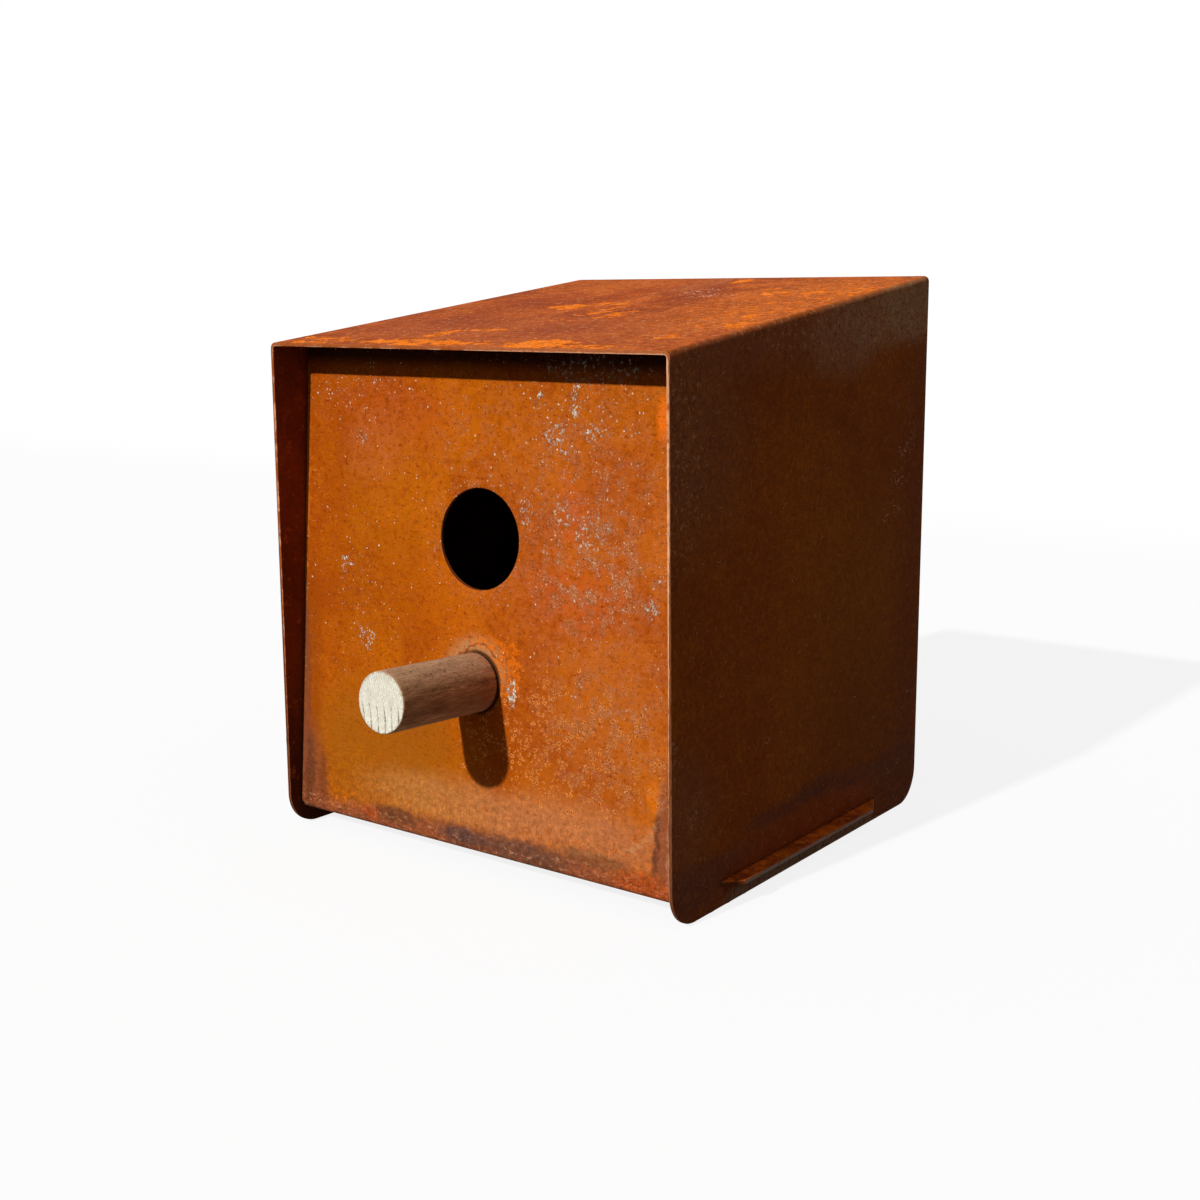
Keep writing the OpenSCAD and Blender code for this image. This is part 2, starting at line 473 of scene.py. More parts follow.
class Graph(Board):
    """A material's node tree, with its coordinates and the mixing of its colours."""

    def __init__(self, name: str) -> None:
        """Makes a material whose tree is empty but for the coordinates, in millimetres.

        Args:
            name: The material's name.
        """
        self.material = bpy.data.materials.new(name)
        self.material.use_nodes = True
        super().__init__(self.material.node_tree)
        self.tree.nodes.clear()
        metres = self.add("ShaderNodeTexCoord", {}, {}).out("Object")
        self.point = metres.stretched(1000, 1000, 1000)

    def mix(self, share: Term, first: Paint, second: Paint, way: str = "MIX") -> Wire:
        """Mixes two colours.

        Args:
            share: Share of the second colour.
            first: The colour at share 0.
            second: The colour at share 1.
            way: The blend type.

        Returns:
            The mixed colour.
        """
        settings = {"data_type": "RGBA", "blend_type": way, "clamp_factor": True}
        inputs = {"Factor_Float": share, "A_Color": first, "B_Color": second}
        return self.add("ShaderNodeMix", settings, inputs).out("Result_Color")

    def coated(self, colour: Paint, coats: Iterable[Coat]) -> Paint:
        """Lays coats over a colour in order, each with the share that it covers."""
        for share, paint in coats:
            colour = self.mix(share, colour, paint)
        return colour

    def shaded(self, colour: Paint, light: Wire, strength: float, share: Term = 1.0) -> Wire:
        """Lightens and darkens a share of a colour by a pattern about a half."""
        return self.mix(share, colour, (light - 0.5) * strength + 1.0, "MULTIPLY")

    def laid(self, face: Face) -> Wire:
        """Lays flat coordinates in millimetres on a face.

        Args:
            face: The face that the pattern lies on.

        Returns:
            The place on the face.
        """
        across, back, up = self.point.parts()
        height = up + ORIGIN_HEIGHT
        depth = 0 - back
        pairs = {Face.FRONT: (across, height), Face.ROOF: (across, depth), Face.SIDE: (depth, height)}
        first, second = pairs[face]
        flat = self.add("ShaderNodeCombineXYZ", {}, {"X": first, "Y": second}).out("Vector")
        flat.flat = True
        return flat

    def surface(self, colour: Paint, roughness: Term, height: Wire, depth: float,
                metal: float = 0.0, sheen: float = 0.05) -> Wire:
        """Joins the values to a surface shader.

        Args:
            colour: Base colour.
            roughness: Roughness.
            height: Height of the relief from 0 to 1.
            depth: Depth of the relief in millimetres.
            metal: Metallic.
            sheen: Strength of the mirror reflection.

        Returns:
            The shader.
        """
        relief = {"Height": height, "Distance": depth * MM, "Strength": 1.0}
        inputs = {"Base Color": colour, "Roughness": roughness, "Metallic": metal,
                  "Specular IOR Level": sheen,
                  "Normal": self.add("ShaderNodeBump", {}, relief).out("Normal")}
        return self.add("ShaderNodeBsdfPrincipled", {}, inputs).out("BSDF")


class Cells:
    """Scattered grains: the way to the nearest one's middle, and three lots that it has drawn."""

    def __init__(self, point: Wire, spacing: float) -> None:
        """Scatters the grains.

        Args:
            point: Coordinates in millimetres.
            spacing: Mean spacing of the grains in millimetres.
        """
        kind = {"feature": "F1", "voronoi_dimensions": "2D" if point.flat else "3D"}
        add = point.graph.add
        node = add("ShaderNodeTexVoronoi", kind, {"Vector": point, "Scale": 1 / spacing})
        lots = add("ShaderNodeSeparateColor", {}, {"Color": node.out("Color")})
        self.away = node.out("Distance") * spacing
        self.kind, self.lot, self.tone = (lots.out(name) for name in ("Red", "Green", "Blue"))

    def radius(self, least: float, most: float) -> Wire:
        """Gives each grain a radius, mostly near the least."""
        return self.lot ** 2.0 * (most - least) + least

    def discs(self, chosen: Wire, least: float, most: float) -> Wire:
        """Gives a mask of the chosen grains, full from half their radius."""
        radius = self.radius(least, most)
        return self.away.step(radius, radius * 0.5) * chosen

    def rings(self, chosen: Wire, least: float, most: float) -> Wire:
        """Gives a mask of the chosen grains' rims, open in the middle."""
        radius = self.radius(least, most)
        rim = self.away.step(radius, radius * 0.75)
        return rim * self.away.step(radius * 0.3, radius * 0.6) * chosen


@dataclass(frozen=True)
class Bloom:
    """A wash of one colour on a face: its place and half widths in millimetres, and its edge."""

    centre: Pair
    reach: Pair
    colour: Colour
    strength: float
    edge: float = 1.0

    def coat(self, place: Wire, grit: Wire) -> Coat:
        """Gives the share that the wash covers, broken up by a pattern, and its colour."""
        mask = place.bloom(self.centre, self.reach, self.edge) * self.strength
        return mask * grit, self.colour


@dataclass(frozen=True)
class Swarm:
    """An oval on a face within which grains lie closer."""

    centre: Pair
    reach: Pair
    amount: float
    edge: float = 1.4

    def mask(self, place: Wire) -> Wire:
        """Gives the share of grains that this swarm adds."""
        return place.bloom(self.centre, self.reach, self.edge) * self.amount


def density(place: Wire, swarms: Iterable[Swarm], least: float) -> Wire:
    """Gives the share of grains over a face.

    Args:
        place: Places on the face in millimetres.
        swarms: Ovals with more grains.
        least: Share where there is no swarm.

    Returns:
        The largest share of the swarms and the least.
    """
    share: Term = least
    for swarm in swarms:
        share = swarm.mask(place).most(share)
    return share


@dataclass(frozen=True)
class RustTones:
    """Colours of a rust layer, and the sizes of its clouds and mottles in millimetres."""

    deep: Colour
    middle: Colour
    light: Colour
    cloud: float = 60.0
    mottle: float = 11.0
    mottle_strength: float = 0.45
    grain_strength: float = 0.6

    def colour(self, graph: Graph, point: Wire) -> Wire:
        """Builds the mottled colour.

        Args:
            graph: The material's tree.
            point: Coordinates in millimetres.

        Returns:
            The colour.
        """
        clouds = point.patches(self.cloud, 3, 0.55)
        colour = clouds.ramp([(0.36, self.deep), (0.5, self.middle), (0.64, self.light)])
        mottles = point.patches(self.mottle, 5, 0.66)
        colour = graph.coated(colour, [(mottles.step(0.5, 0.7) * self.mottle_strength, self.light),
                                       (mottles.step(0.5, 0.3) * self.mottle_strength, self.deep)])
        colour = graph.shaded(colour, point.patches(2.6, 4, 0.7), self.grain_strength)
        return graph.shaded(colour, point.patches(0.9, 3, 0.8), self.grain_strength)


class Finish:
    """A look, which each kind builds in its own way on a material's tree."""

    def shader(self, graph: Graph) -> Wire:
        """Builds the look's shader on a tree."""
        raise NotImplementedError

    def material(self, name: str) -> Material:
        """Makes a material that has this look."""
        graph = Graph(name)
        graph.add("ShaderNodeOutputMaterial", {}, {"Surface": self.shader(graph)})
        return graph.material


class PanelWash(Bloom, Enum):
    """Soft washes of the panel in the order in which they lie."""

    OLIVE_SIDE = (-56, 128), (30, 46), srgb(178, 92, 0), 0.7, 1.5
    GOLD_MIDDLE = (-6, 108), (40, 18), srgb(186, 88, 0), 0.7, 1.4
    GOLD_BROW = (8, 176), (40, 20), srgb(194, 98, 0), 0.6, 1.4
    RUSSET_LOW = (30, 62), (34, 30), srgb(172, 80, 4), 0.6, 1.5
    ROSE = (58, 128), (44, 60), srgb(200, 104, 48), 0.4, 1.5
    ROSE_CORE = (50, 116), (22, 14), srgb(206, 84, 30), 0.45, 1.5
    ROSE_SPOT = (44, 146), (7, 10), srgb(210, 78, 22), 0.6, 1.5
    ROSE_BROW = (-46, 182), (32, 14), srgb(198, 84, 20), 0.55, 1.5
    ROSE_HIGH = (-58, 166), (16, 14), srgb(190, 98, 44), 0.6, 1.5
    ROSE_LOW = (72, 66), (34, 30), srgb(184, 96, 36), 0.5, 1.2
    OLIVE_LOW = (-42, 48), (28, 22), srgb(172, 92, 0), 0.65, 1.2
    RUSSET_EDGE = (-98, 140), (18, 90), srgb(166, 68, 0), 0.85, 1.4


class PanelSkirt(Bloom, Enum):
    """Smooth gold and tan washes above the hem, in order."""

    GOLD_LOW = (-52, 40), (42, 26), srgb(164, 90, 8), 0.9, 1.1
    TAN_LEFT = (-16, 25), (40, 10), srgb(186, 118, 56), 0.8, 1.1
    TAN_SKIRT = (46, 26), (50, 11), srgb(188, 114, 66), 0.85, 1.4


class PanelStain(Bloom, Enum):
    """Ragged stains and lines of the panel, in order."""

    COLLAR = (0, 82), (15.5, 12), srgb(186, 128, 78), 0.95, 0.5
    UMBER_LEFT = (-94, 66), (7, 50), srgb(150, 68, 2), 0.7, 0.9
    BROWN_EDGE = (-99, 34), (6, 76), srgb(132, 70, 36), 0.95, 0.35
    BROWN_LEFT = (-101, 12), (18, 36), srgb(136, 74, 44), 0.92, 0.6
    STRIP_LINE = (-85, 20), (2.2, 14), srgb(100, 50, 24), 0.55, 1
    RIM_LEFT = (-97.6, 152), (1.5, 54), srgb(208, 116, 40), 0.7, 0.5
    BROWN_RIGHT = (98, 28), (11, 32), srgb(138, 76, 48), 0.9, 0.5
    LINE_RIGHT = (88.4, 30), (1.4, 18), srgb(92, 50, 32), 0.8, 0.9
    LINE_PALE = (94, 26), (1, 18), srgb(196, 140, 104), 0.4, 0.9
    BROWN_HEM = (0, 6), (104, 12), srgb(140, 76, 46), 0.95, 0.5
    PLUM_SIDE = (-93, 24), (3, 16), srgb(90, 48, 26), 0.7, 0.9
    PLUM_LEFT = (-42, 15), (11, 3), srgb(96, 58, 32), 0.8, 0.9
    PLUM_ONE = (-4, 13.5), (13, 3.4), srgb(80, 58, 54), 0.9, 0.9
    PLUM_TWO = (26, 13), (22, 4.4), srgb(96, 64, 50), 0.85, 0.9
    PLUM_THREE = (60, 17.5), (16, 3), srgb(110, 70, 44), 0.7, 0.8
    EMBER_CORNER = (84, 12), (14, 5), srgb(170, 70, 20), 0.8, 0.8
    EMBER_HEM = (-57, 13.5), (5, 2.2), srgb(186, 72, 18), 0.6, 0.9
    FLAME_CORNER = (86.5, 46), (2.8, 6.5), srgb(218, 112, 8), 0.9, 0.7
    FLAME_EDGE = (85.5, 184), (2.4, 8), srgb(244, 114, 4), 0.95, 0.8


class PanelLime(Swarm, Enum):
    """Where the grey lime crust lies."""

    STEM = (45.5, 188), (3.4, 9), 1.1, 0.9
    ARC = (37, 175), (6.5, 6.5), 1.05, 0.9
    FORK = (55, 177), (7, 4.6), 1, 0.9
    FOOT = (42, 168.5), (5, 4), 0.85, 0.8
    BEAD = (28.8, 188), (2.6, 4), 1, 0.8
    SPOT = (41, 146), (6, 8), 0.95, 1
    CHEEK = (57, 141), (14, 12), 0.86
    DOT = (50.6, 136), (5, 5), 1, 1
    EDGE = (83, 115), (3.6, 5), 1.1, 0.9
    EDGE_HIGH = (87, 128), (3, 4), 0.95, 0.8
    LEFT_HIGH = (-65, 170), (3.4, 3), 1.1, 0.9
    LEFT = (-73, 117), (4, 4.4), 1, 1
    LEFT_LOW = (-60.5, 87), (6, 7), 1, 1
    SIDE = (-66, 104), (13, 28), 0.5
    HOLE = (23, 146), (4, 8), 0.95
    PERCH = (18.5, 75), (2.6, 7), 1.25, 0.8
    BROW = (54, 200), (32, 6), 0.9, 1


class PanelCrumbs(Swarm, Enum):
    """Where the fine mineral crumbs lie."""

    BROW = (-62, 188), (36, 10), 0.5
    SIDE = (-62, 166), (20, 18), 0.25
    MIDDLE = (0, 174), (36, 20), 0.62
    RIGHT = (54, 146), (46, 52), 0.75
    CHEEK = (56, 122), (36, 30), 1
    RIM = (0, 133), (27, 27), 0.65, 0.5
    LOW = (64, 66), (40, 38), 0.85


class PanelChalk(Swarm, Enum):
    """Where the larger chalk crumbs lie."""

    BROW = (-62, 190), (32, 8), 0.6
    TOP = (46, 184), (26, 18), 0.4
    RIGHT = (48, 150), (38, 40), 0.34


class PanelEmbers(Swarm, Enum):
    """Where the bright orange flecks lie."""

    PERCH = (15.5, 84), (9, 13), 1.3, 0.7
    TOP = (6, 92.5), (12, 3), 1.2, 0.8
    RIGHT = (80, 60), (14, 50), 0.3


@dataclass(frozen=True)
class PanelFinish(Finish):
    """Rust of the front panel: amber with rose dust, pale mineral crumbs, brown tide marks and painted
    shade.
    """

    tones: RustTones = RustTones(srgb(166, 72, 0), srgb(182, 88, 0), srgb(193, 97, 4), 42.0, 8.0,
                                 0.6, 0.9)
    pit: Colour = srgb(132, 48, 0)
    crumb: Colour = srgb(222, 146, 92)
    chalk: Colour = srgb(232, 186, 146)
    salt: Colour = srgb(246, 230, 206)
    lime: Colour = srgb(188, 174, 158)
    blister: Colour = srgb(238, 144, 66)
    ember: Colour = srgb(232, 112, 6)
    dusty: Colour = srgb(212, 124, 88)
    thread_pale: Colour = srgb(210, 150, 112)
    thread_dark: Colour = srgb(74, 42, 34)
    tide_line: Colour = srgb(204, 146, 98)
    skirt_fluff: float = 1.7
    tide_centre: Pair = (14.0, 64.0)
    tide_reach: Pair = (76.0, 46.0)
    blisters: Swarm = Swarm((42.0, 57.0), (42.0, 25.0), 1.0, 1.0)
    halo_centre: Pair = (1.5, 77.5)
    halo_radius: float = 14.2
    perch_centre: Pair = (0.0, House.perch_height)
    # Painted shade: near-black brown laid under the roof's overhang and round the perch's base.
    painted_shade: Colour = srgb(32, 10, 2)

    def halo(self, place: Wire) -> Wire:
        """Gives the thin brown line that runs round above the perch."""
        off = (place.away(self.halo_centre) - self.halo_radius).size()
        return off.step(0.9, 0.1) * place.parts()[1].step(76, 84)

    def painted_contact_shade(self, place: Wire) -> Wire:
        """Gives the painted contact shade that darkens the corner round the perch's base."""
        far = place.away(self.perch_centre)
        return far.step(13.4, 12.2) * place.parts()[0].step(-14, 2)

    def tide(self, place: Wire) -> Wire:
        """Gives the thin line that drying water has left low on the panel's right.

        Args:
            place: Places on the panel in millimetres.

        Returns:
            The line's mask.
        """
        across, up, _ = place.parts()
        side = (across - self.tide_centre[0]) / self.tide_reach[0]
        down = (up - self.tide_centre[1]) / self.tide_reach[1]
        far = side ** 4.0 + down ** 4.0
        line = far.step(0.9, 1) * far.step(1.16, 1.02)
        return line * across.step(40, 66) * up.step(64, 44)

    def shader(self, graph: Graph) -> Wire:
        """Builds the look.

        Args:
            graph: The material's tree.

        Returns:
            The shader.
        """
        place = graph.laid(Face.FRONT)
        soft = place.warped(22, 7)
        ragged = place.warped(5, 2.2)
        fine = place.warped(0.8, 0.35)
        dust = place.patches(4, 6, 0.8)
        fibre = ragged.stretched(1, 0.3, 1).patches(0.9, 4, 0.7)
        fluff = ragged.stretched(0.6, 1, 1).patches(2, 5, 0.8)
        threads = ragged.stretched(0.35, 1, 1).patches(1.3, 4, 0.75)
        scales = fine.stretched(0.6, 1, 1).patches(1.5, 4, 0.75)
        pepper = fine.patches(0.8, 2, 0.7)
        flecks = place.patches(0.9, 3, 0.8)
        lumps = place.patches(7, 3, 0.6).step(0.34, 0.62) * 1.3
        height, bank = place.parts()[1], soft.parts()[1]
        hem, calm = height.step(19, 13), height.step(34, 50) * 0.7 + 0.3
        tide = self.tide(ragged)
        share = density(soft, PanelCrumbs, 0.12) * lumps
        haze = place.patches(1.5, 4, 0.8).step(0.44, 0.64) * share
        crumb = fine.crust(0.6, share)
        pale = place.patches(1.6, 2, 0.6).step(0.52, 0.78)
        glow = density(ragged, PanelEmbers, 0.04)
        ember = fine.stretched(1, 0.8, 1).crust(2, glow)
        large = Cells(place.warped(1.6, 0.9), 2.1)
        blistered = large.kind < self.blisters.mask(soft) * lumps
        blister = large.rings(blistered, 0.5, 1.1)
        mouth = large.discs(blistered, 0.16, 0.4)
        sparse = Cells(place.warped(0.6, 0.6), 1.7)
        share = density(ragged, PanelChalk, 0.07) * lumps * height.step(50, 90)
        chalk = sparse.discs(sparse.kind < share, 0.15, 0.56)
        core = sparse.discs(sparse.kind < share * 0.6, 0.1, 0.42)
        crust = fine.crust(2.1, density(ragged, PanelLime, 0))
        white = graph.mix(flecks.step(0.42, 0.6), self.lime, self.salt)
        broken, torn = dust.step(0.34, 0.6), dust.step(0.2, 0.5)
        frayed = (dust + fibre).step(0.75, 1.1) * 0.4 + 0.6
        colour = graph.coated(self.tones.colour(graph, place), [
            *(wash.coat(soft, broken) for wash in PanelWash),
            *(wash.coat(soft, torn) for wash in PanelSkirt),
            *(stain.coat(ragged, frayed) for stain in PanelStain)])
        colour = graph.shaded(colour, fibre, 1.7, bank.step(36, 14))
        colour = graph.shaded(colour, fluff, self.skirt_fluff, bank.step(50, 28))
        colour = graph.coated(colour, [
            (threads.step(0.58, 0.66) * hem * 0.5, self.thread_pale),
            (threads.step(0.44, 0.36) * hem * 0.6, self.thread_dark),
            # Painted shade under the roof's overhang, darker towards the panel's top edge.
            (height.step(197.5, 203.5) * 0.92, self.painted_shade),
            (tide * dust.step(0.4, 0.6) * 0.4, self.tide_line),
            (self.halo(soft) * 0.7, self.pit),
            (haze * 0.4, self.dusty),
            (scales.step(0.42, 0.34) * calm * 0.7, self.pit),
            (pepper.step(0.36, 0.27) * calm * 0.6, self.pit),
            (crumb * 0.85, graph.mix(pale, self.crumb, self.salt)),
            (ember * 0.7, self.ember),
            (blister * 0.85, self.blister),
            (mouth * 0.8, self.pit),
            (chalk * 0.8, self.chalk),
            (core * 0.95, self.salt),
            (crust * flecks.step(0.3, 0.45) * 0.92, white),
            # Painted contact shade round the perch's base.
            (self.painted_contact_shade(place) * 0.85, self.painted_shade)])
        grain = place.patches(1, 4, 0.75)
        bumps = crumb * 0.35 + core * 0.4 + chalk * 0.3 + crust * 0.4 + blister * 0.3 + tide * 0.2
        relief = grain * 0.7 + bumps + scales * 0.5 - mouth * 0.4
        return graph.surface(colour, grain * 0.2 + 0.7, relief, 0.3)


class RoofWash(Bloom, Enum):
    """Soft washes of the roof in the order in which they lie."""

    BROWN_LEFT = (-66, 112), (46, 60), srgb(152, 66, 30), 0.6, 1.5
    BROWN_FRONT = (6, 166), (90, 34), srgb(162, 80, 46), 0.75, 1.4
    AMBER_RIGHT = (80, 76), (40, 96), srgb(214, 112, 38), 0.75, 1.5
    AMBER_BACK = (-52, 16), (54, 34), srgb(196, 98, 38), 0.75, 1.3
    MAUVE_BACK = (-6, 26), (13, 30), srgb(158, 84, 54), 0.7, 1.2
    RED_STREAK = (-22, 50), (8, 46), srgb(168, 68, 16), 0.6, 1.2


class RoofFlakes(Swarm, Enum):
    """Where the roof's orange flakes lie."""

    PATCH = (-26, 100), (13, 10), 1.5, 0.9
    ARM = (-9, 91), (13, 5.5), 1.35, 0.9
    POST = (2, 113), (5.5, 15), 1.35, 0.9
    KNOB = (15.5, 125), (7.5, 13), 1.35, 0.9
    SILL = (3, 138.5), (11, 5), 1.05
    HOOK = (-31, 178), (5.5, 11), 1.5, 0.9
    HOOK_ARM = (-18, 167), (14, 5), 1.3, 0.9
    BAND_LEFT = (-24, 199), (36, 8), 1.45, 0.9
    BAND_RIGHT = (36, 198), (15, 11), 1.9, 0.9
    BAND_END = (57, 201), (16, 6), 1.2
    CORNER = (-82, 197), (24, 11), 1.15
    BAY = (54, 57), (7, 8), 1.6, 0.9
    BAY_ARM = (43, 42), (6, 5), 1.1, 0.9
    BAY_RIGHT = (72, 56), (8, 6), 1.5, 0.9
    BAY_FOOT = (70, 88), (6, 7), 1.3
    FIELD_RIGHT = (78, 84), (36, 104), 0.85, 1.6
    RIM_BACK = (91, 60), (10, 30), 1.2
    RIM_MIDDLE = (84, 125), (5, 8), 1.4, 0.9
    RIM_FRONT = (91, 146), (6, 12), 1.4, 0.9
    RIM_LOW = (80, 177), (6, 6), 1.35, 0.9
    STREAK = (9.5, 13), (5, 10), 1.7, 0.9


class RoofScuff(Swarm, Enum):
    """Where pale scratches cross the roof."""

    ONE = (11, 50), (7, 14), 1.2, 1
    TWO = (25, 64), (12, 9), 1.2, 1


@dataclass(frozen=True)
class RoofFinish(Finish):
    """Rust of the roof: red-brown with orange flakes, worn rims and a few pale scratches."""

    tones: RustTones = RustTones(srgb(146, 62, 26), srgb(174, 80, 30), srgb(198, 98, 38), 34.0,
                                 8.0, 0.75, 1.2)
    flake: Colour = srgb(255, 130, 8)
    flake_dull: Colour = srgb(216, 98, 30)
    flake_rim: Colour = srgb(124, 50, 22)
    crumb: Colour = srgb(244, 172, 122)
    pit: Colour = srgb(116, 46, 18)
    scratch: Colour = srgb(230, 180, 152)

    def shader(self, graph: Graph) -> Wire:
        """Builds the look.

        Args:
            graph: The material's tree.

        Returns:
            The shader.
        """
        place = graph.laid(Face.ROOF)
        ragged = place.warped(6, 2.8)
        fine = place.warped(1, 0.5)
        dust = place.patches(4, 5, 0.78).step(0.3, 0.6)
        share = density(ragged, RoofFlakes, 0.3)
        crust = fine.patches(6.5, 5, 0.72) + share * 0.2
        flakes = crust.step(0.70, 0.76)
        rims = crust.step(0.65, 0.70) * crust.step(0.74, 0.71)
        front = place.parts()[1].step(180, 196) * 0.2
        tone = (fine.patches(3, 4, 0.75) + share * 0.16 + front).step(0.52, 0.74)
        specks = fine.patches(1.1, 3, 0.8)
        scabs = fine.patches(3.4, 4, 0.75)
        cells = Cells(fine, 1.9)
        crumb = cells.discs(cells.kind < share * 0.12 + 0.14, 0.2, 0.9)
        pit = cells.discs(cells.kind > 0.72, 0.2, 0.8)
        turned = graph.add("ShaderNodeMapping", {}, {"Vector": place, "Rotation": (0, 0, 0.7)})
        lines = turned.out("Vector").like(place).stretched(1, 0.16, 1)
        scratch = lines.patches(1.1, 3, 0.7) + density(ragged, RoofScuff, 0) * 0.13
        colour = graph.coated(self.tones.colour(graph, place), [
            *(wash.coat(ragged, dust) for wash in RoofWash),
            (rims * 0.5, self.flake_rim),
            (flakes * 0.92, graph.mix(tone, self.flake_dull, self.flake)),
            (specks.step(0.46, 0.38) * flakes * 0.4, self.pit),
            ((scabs + share * 0.02).step(0.6, 0.68) * 0.4, self.crumb),
            (scabs.step(0.42, 0.33) * 0.55, self.pit),
            (crumb * (cells.tone * 0.5 + 0.2), self.crumb),
            (pit * 0.5, self.pit),
            (scratch.step(0.72, 0.78) * 0.7, self.scratch)])
        grain = place.patches(1.2, 4, 0.75)
        height = grain * 0.5 + flakes * 0.4 + crumb * 0.3 - pit * 0.4
        return graph.surface(colour, grain * 0.2 + 0.68, height, 0.3)


class SideWash(Bloom, Enum):
    """Soft washes of the sides in the order in which they lie."""

    SHADE_BACK = (0, 110), (90, 150), srgb(136, 64, 10), 0.5, 1.6
    OLIVE_LOW = (64, 84), (52, 60), srgb(138, 76, 8), 0.6, 1.4
    ORANGE_FRONT = (150, 110), (44, 60), srgb(160, 76, 8), 0.6, 1.4
    LOW_BACK = (20, 36), (74, 42), srgb(96, 42, 6), 0.7, 1.3
    TOP_RIM = (150, 212), (76, 12), srgb(132, 72, 46), 0.75, 1.2
    FRONT_DUST = (196, 176), (36, 36), srgb(124, 72, 48), 0.75, 1.4
    BACK_BROWN = (0, 100), (26, 110), srgb(104, 46, 14), 0.9, 1.2
    # Pale washes along the top towards the back: dust, and painted skylight.
    TOP_DUST_AND_SKYLIGHT = (80, 212), (28, 15), srgb(158, 104, 72), 0.75, 0.8
    TOP_MIDDLE = (48, 221), (36, 12), srgb(164, 118, 84), 0.75, 0.8
    TOP_BACK = (14, 228), (30, 15), srgb(168, 126, 90), 0.85, 0.6
    HEM = (100, 6), (130, 18), srgb(122, 56, 28), 0.85, 0.6
    HEM_FRONT = (196, 40), (22, 22), srgb(134, 78, 50), 0.7, 1.2
    PLUM_FRONT = (188, 12), (24, 9), srgb(74, 42, 30), 0.85, 1
    PLUM_BACK = (10, 14), (32, 18), srgb(76, 38, 18), 0.85, 1.2
    GLOW = (106, 15), (54, 7), srgb(142, 56, 18), 0.75, 0.9
    TIDE_FRONT = (172, 17), (30, 5), srgb(108, 58, 44), 0.55, 1
    TIDE_ONE = (128, 26), (22, 3.4), srgb(88, 44, 34), 0.85, 0.9
    TIDE_TWO = (94, 28), (22, 4.2), srgb(80, 38, 32), 0.9, 0.9
    TIDE_THREE = (62, 25), (20, 3.6), srgb(84, 42, 32), 0.85, 0.9
    TIDE_BACK = (26, 23), (24, 5), srgb(88, 46, 30), 0.8, 1


class SideScratch(Swarm, Enum):
    """Where pale scratches cross the sides."""

    HIGH = (12, 171), (4, 8), 0.85
    BEND = (20, 163), (8, 4), 0.85
    MIDDLE = (27, 150), (8, 6), 0.85
    LOW = (32, 137), (9, 6), 0.8
    FRONT = (200, 66), (4, 8), 0.8
    FOOT = (187, 39), (9, 4), 0.75


class SideDust(Swarm, Enum):
    """Where dust lies on the sides."""

    RIM = (200, 170), (26, 50), 0.7
    ROOF = (90, 218), (110, 16), 0.7


@dataclass(frozen=True)
class SideFinish(Finish):
    """Rust of the hood's sides: amber-brown with dusty rims, a top paled by dust and painted skylight,
    a plum tide above the tabs and a strip below them lightened as painted light.
    """

    tones: RustTones = RustTones(srgb(126, 54, 1), srgb(144, 67, 1), srgb(153, 76, 2), 70.0,
                                 12.0, 0.6, 1.2)
    worm: Colour = srgb(116, 48, 4)
    dust: Colour = srgb(206, 152, 118)
    ring: Colour = srgb(186, 112, 52)
    # Grey-brown strip below the tabs, lightened as painted light against the tabs' shade.
    foot: Bloom = Bloom((104.0, 1.0), (60.0, 6.8), srgb(164, 126, 96), 0.9, 0.3)
    other_side: float = 500.0

    def shader(self, graph: Graph) -> Wire:
        """Builds the look.

        Args:
            graph: The material's tree.

        Returns:
            The shader.
        """
        place = graph.laid(Face.SIDE)
        other = graph.point.parts()[0] > 0
        shift = graph.add("ShaderNodeCombineXYZ", {}, {"X": other * self.other_side}).out("Vector")
        spread = graph.vector("ADD", place, shift).out("Vector").like(place)
        ragged = place.warped(7, 2.6)
        grit = spread.patches(4, 5, 0.78).step(0.32, 0.6) * 0.6 + 0.4
        colour = graph.coated(self.tones.colour(graph, spread),
                              [wash.coat(ragged, grit) for wash in SideWash])
        upright = spread.stretched(1, 0.35, 1).patches(1.4, 4, 0.75)
        worms = spread.patches(3, 3, 0.6, 1.6)
        line = (worms - 0.5).size().step(0.06, 0)
        rise = (worms - 0.58).size().step(0.04, 0)
        rims = density(ragged, SideDust, 0.3)
        streak = spread.stretched(1, 0.2, 1).patches(0.9, 3, 0.7)
        scratch = spread.stretched(0.5, 1, 1).patches(2.2, 4, 0.7, 1.6)
        scratch = (scratch + density(place, SideScratch, 0) * 0.16).step(0.68, 0.74)
        cells = Cells(spread.warped(1.2, 0.6), 2)
        crumb = cells.discs(cells.kind < rims * 0.3, 0.15, 0.5)
        pit = cells.discs(cells.kind > 0.7, 0.2, 0.8)
        haze = spread.warped(1, 0.5).crust(2.6, rims * 1.2)
        colour = graph.coated(graph.shaded(colour, upright, 1), [
            (line * 0.8, self.worm),
            (rise * rims * 0.8, self.ring),
            # Strip below the tabs, lightened as painted light.
            self.foot.coat(ragged, streak.step(0.3, 0.55)),
            (scratch * 0.8, self.dust),
            (crumb * 0.3, self.dust),
            (haze * 0.4, self.dust),
            (pit * 0.6, self.worm)])
        grain = spread.patches(1.2, 4, 0.75)
        height = grain * 0.5 + crumb * 0.3 + scratch * 0.3 - pit * 0.4 - line * 0.3
        return graph.surface(colour, grain * 0.2 + 0.68, height, 0.3)


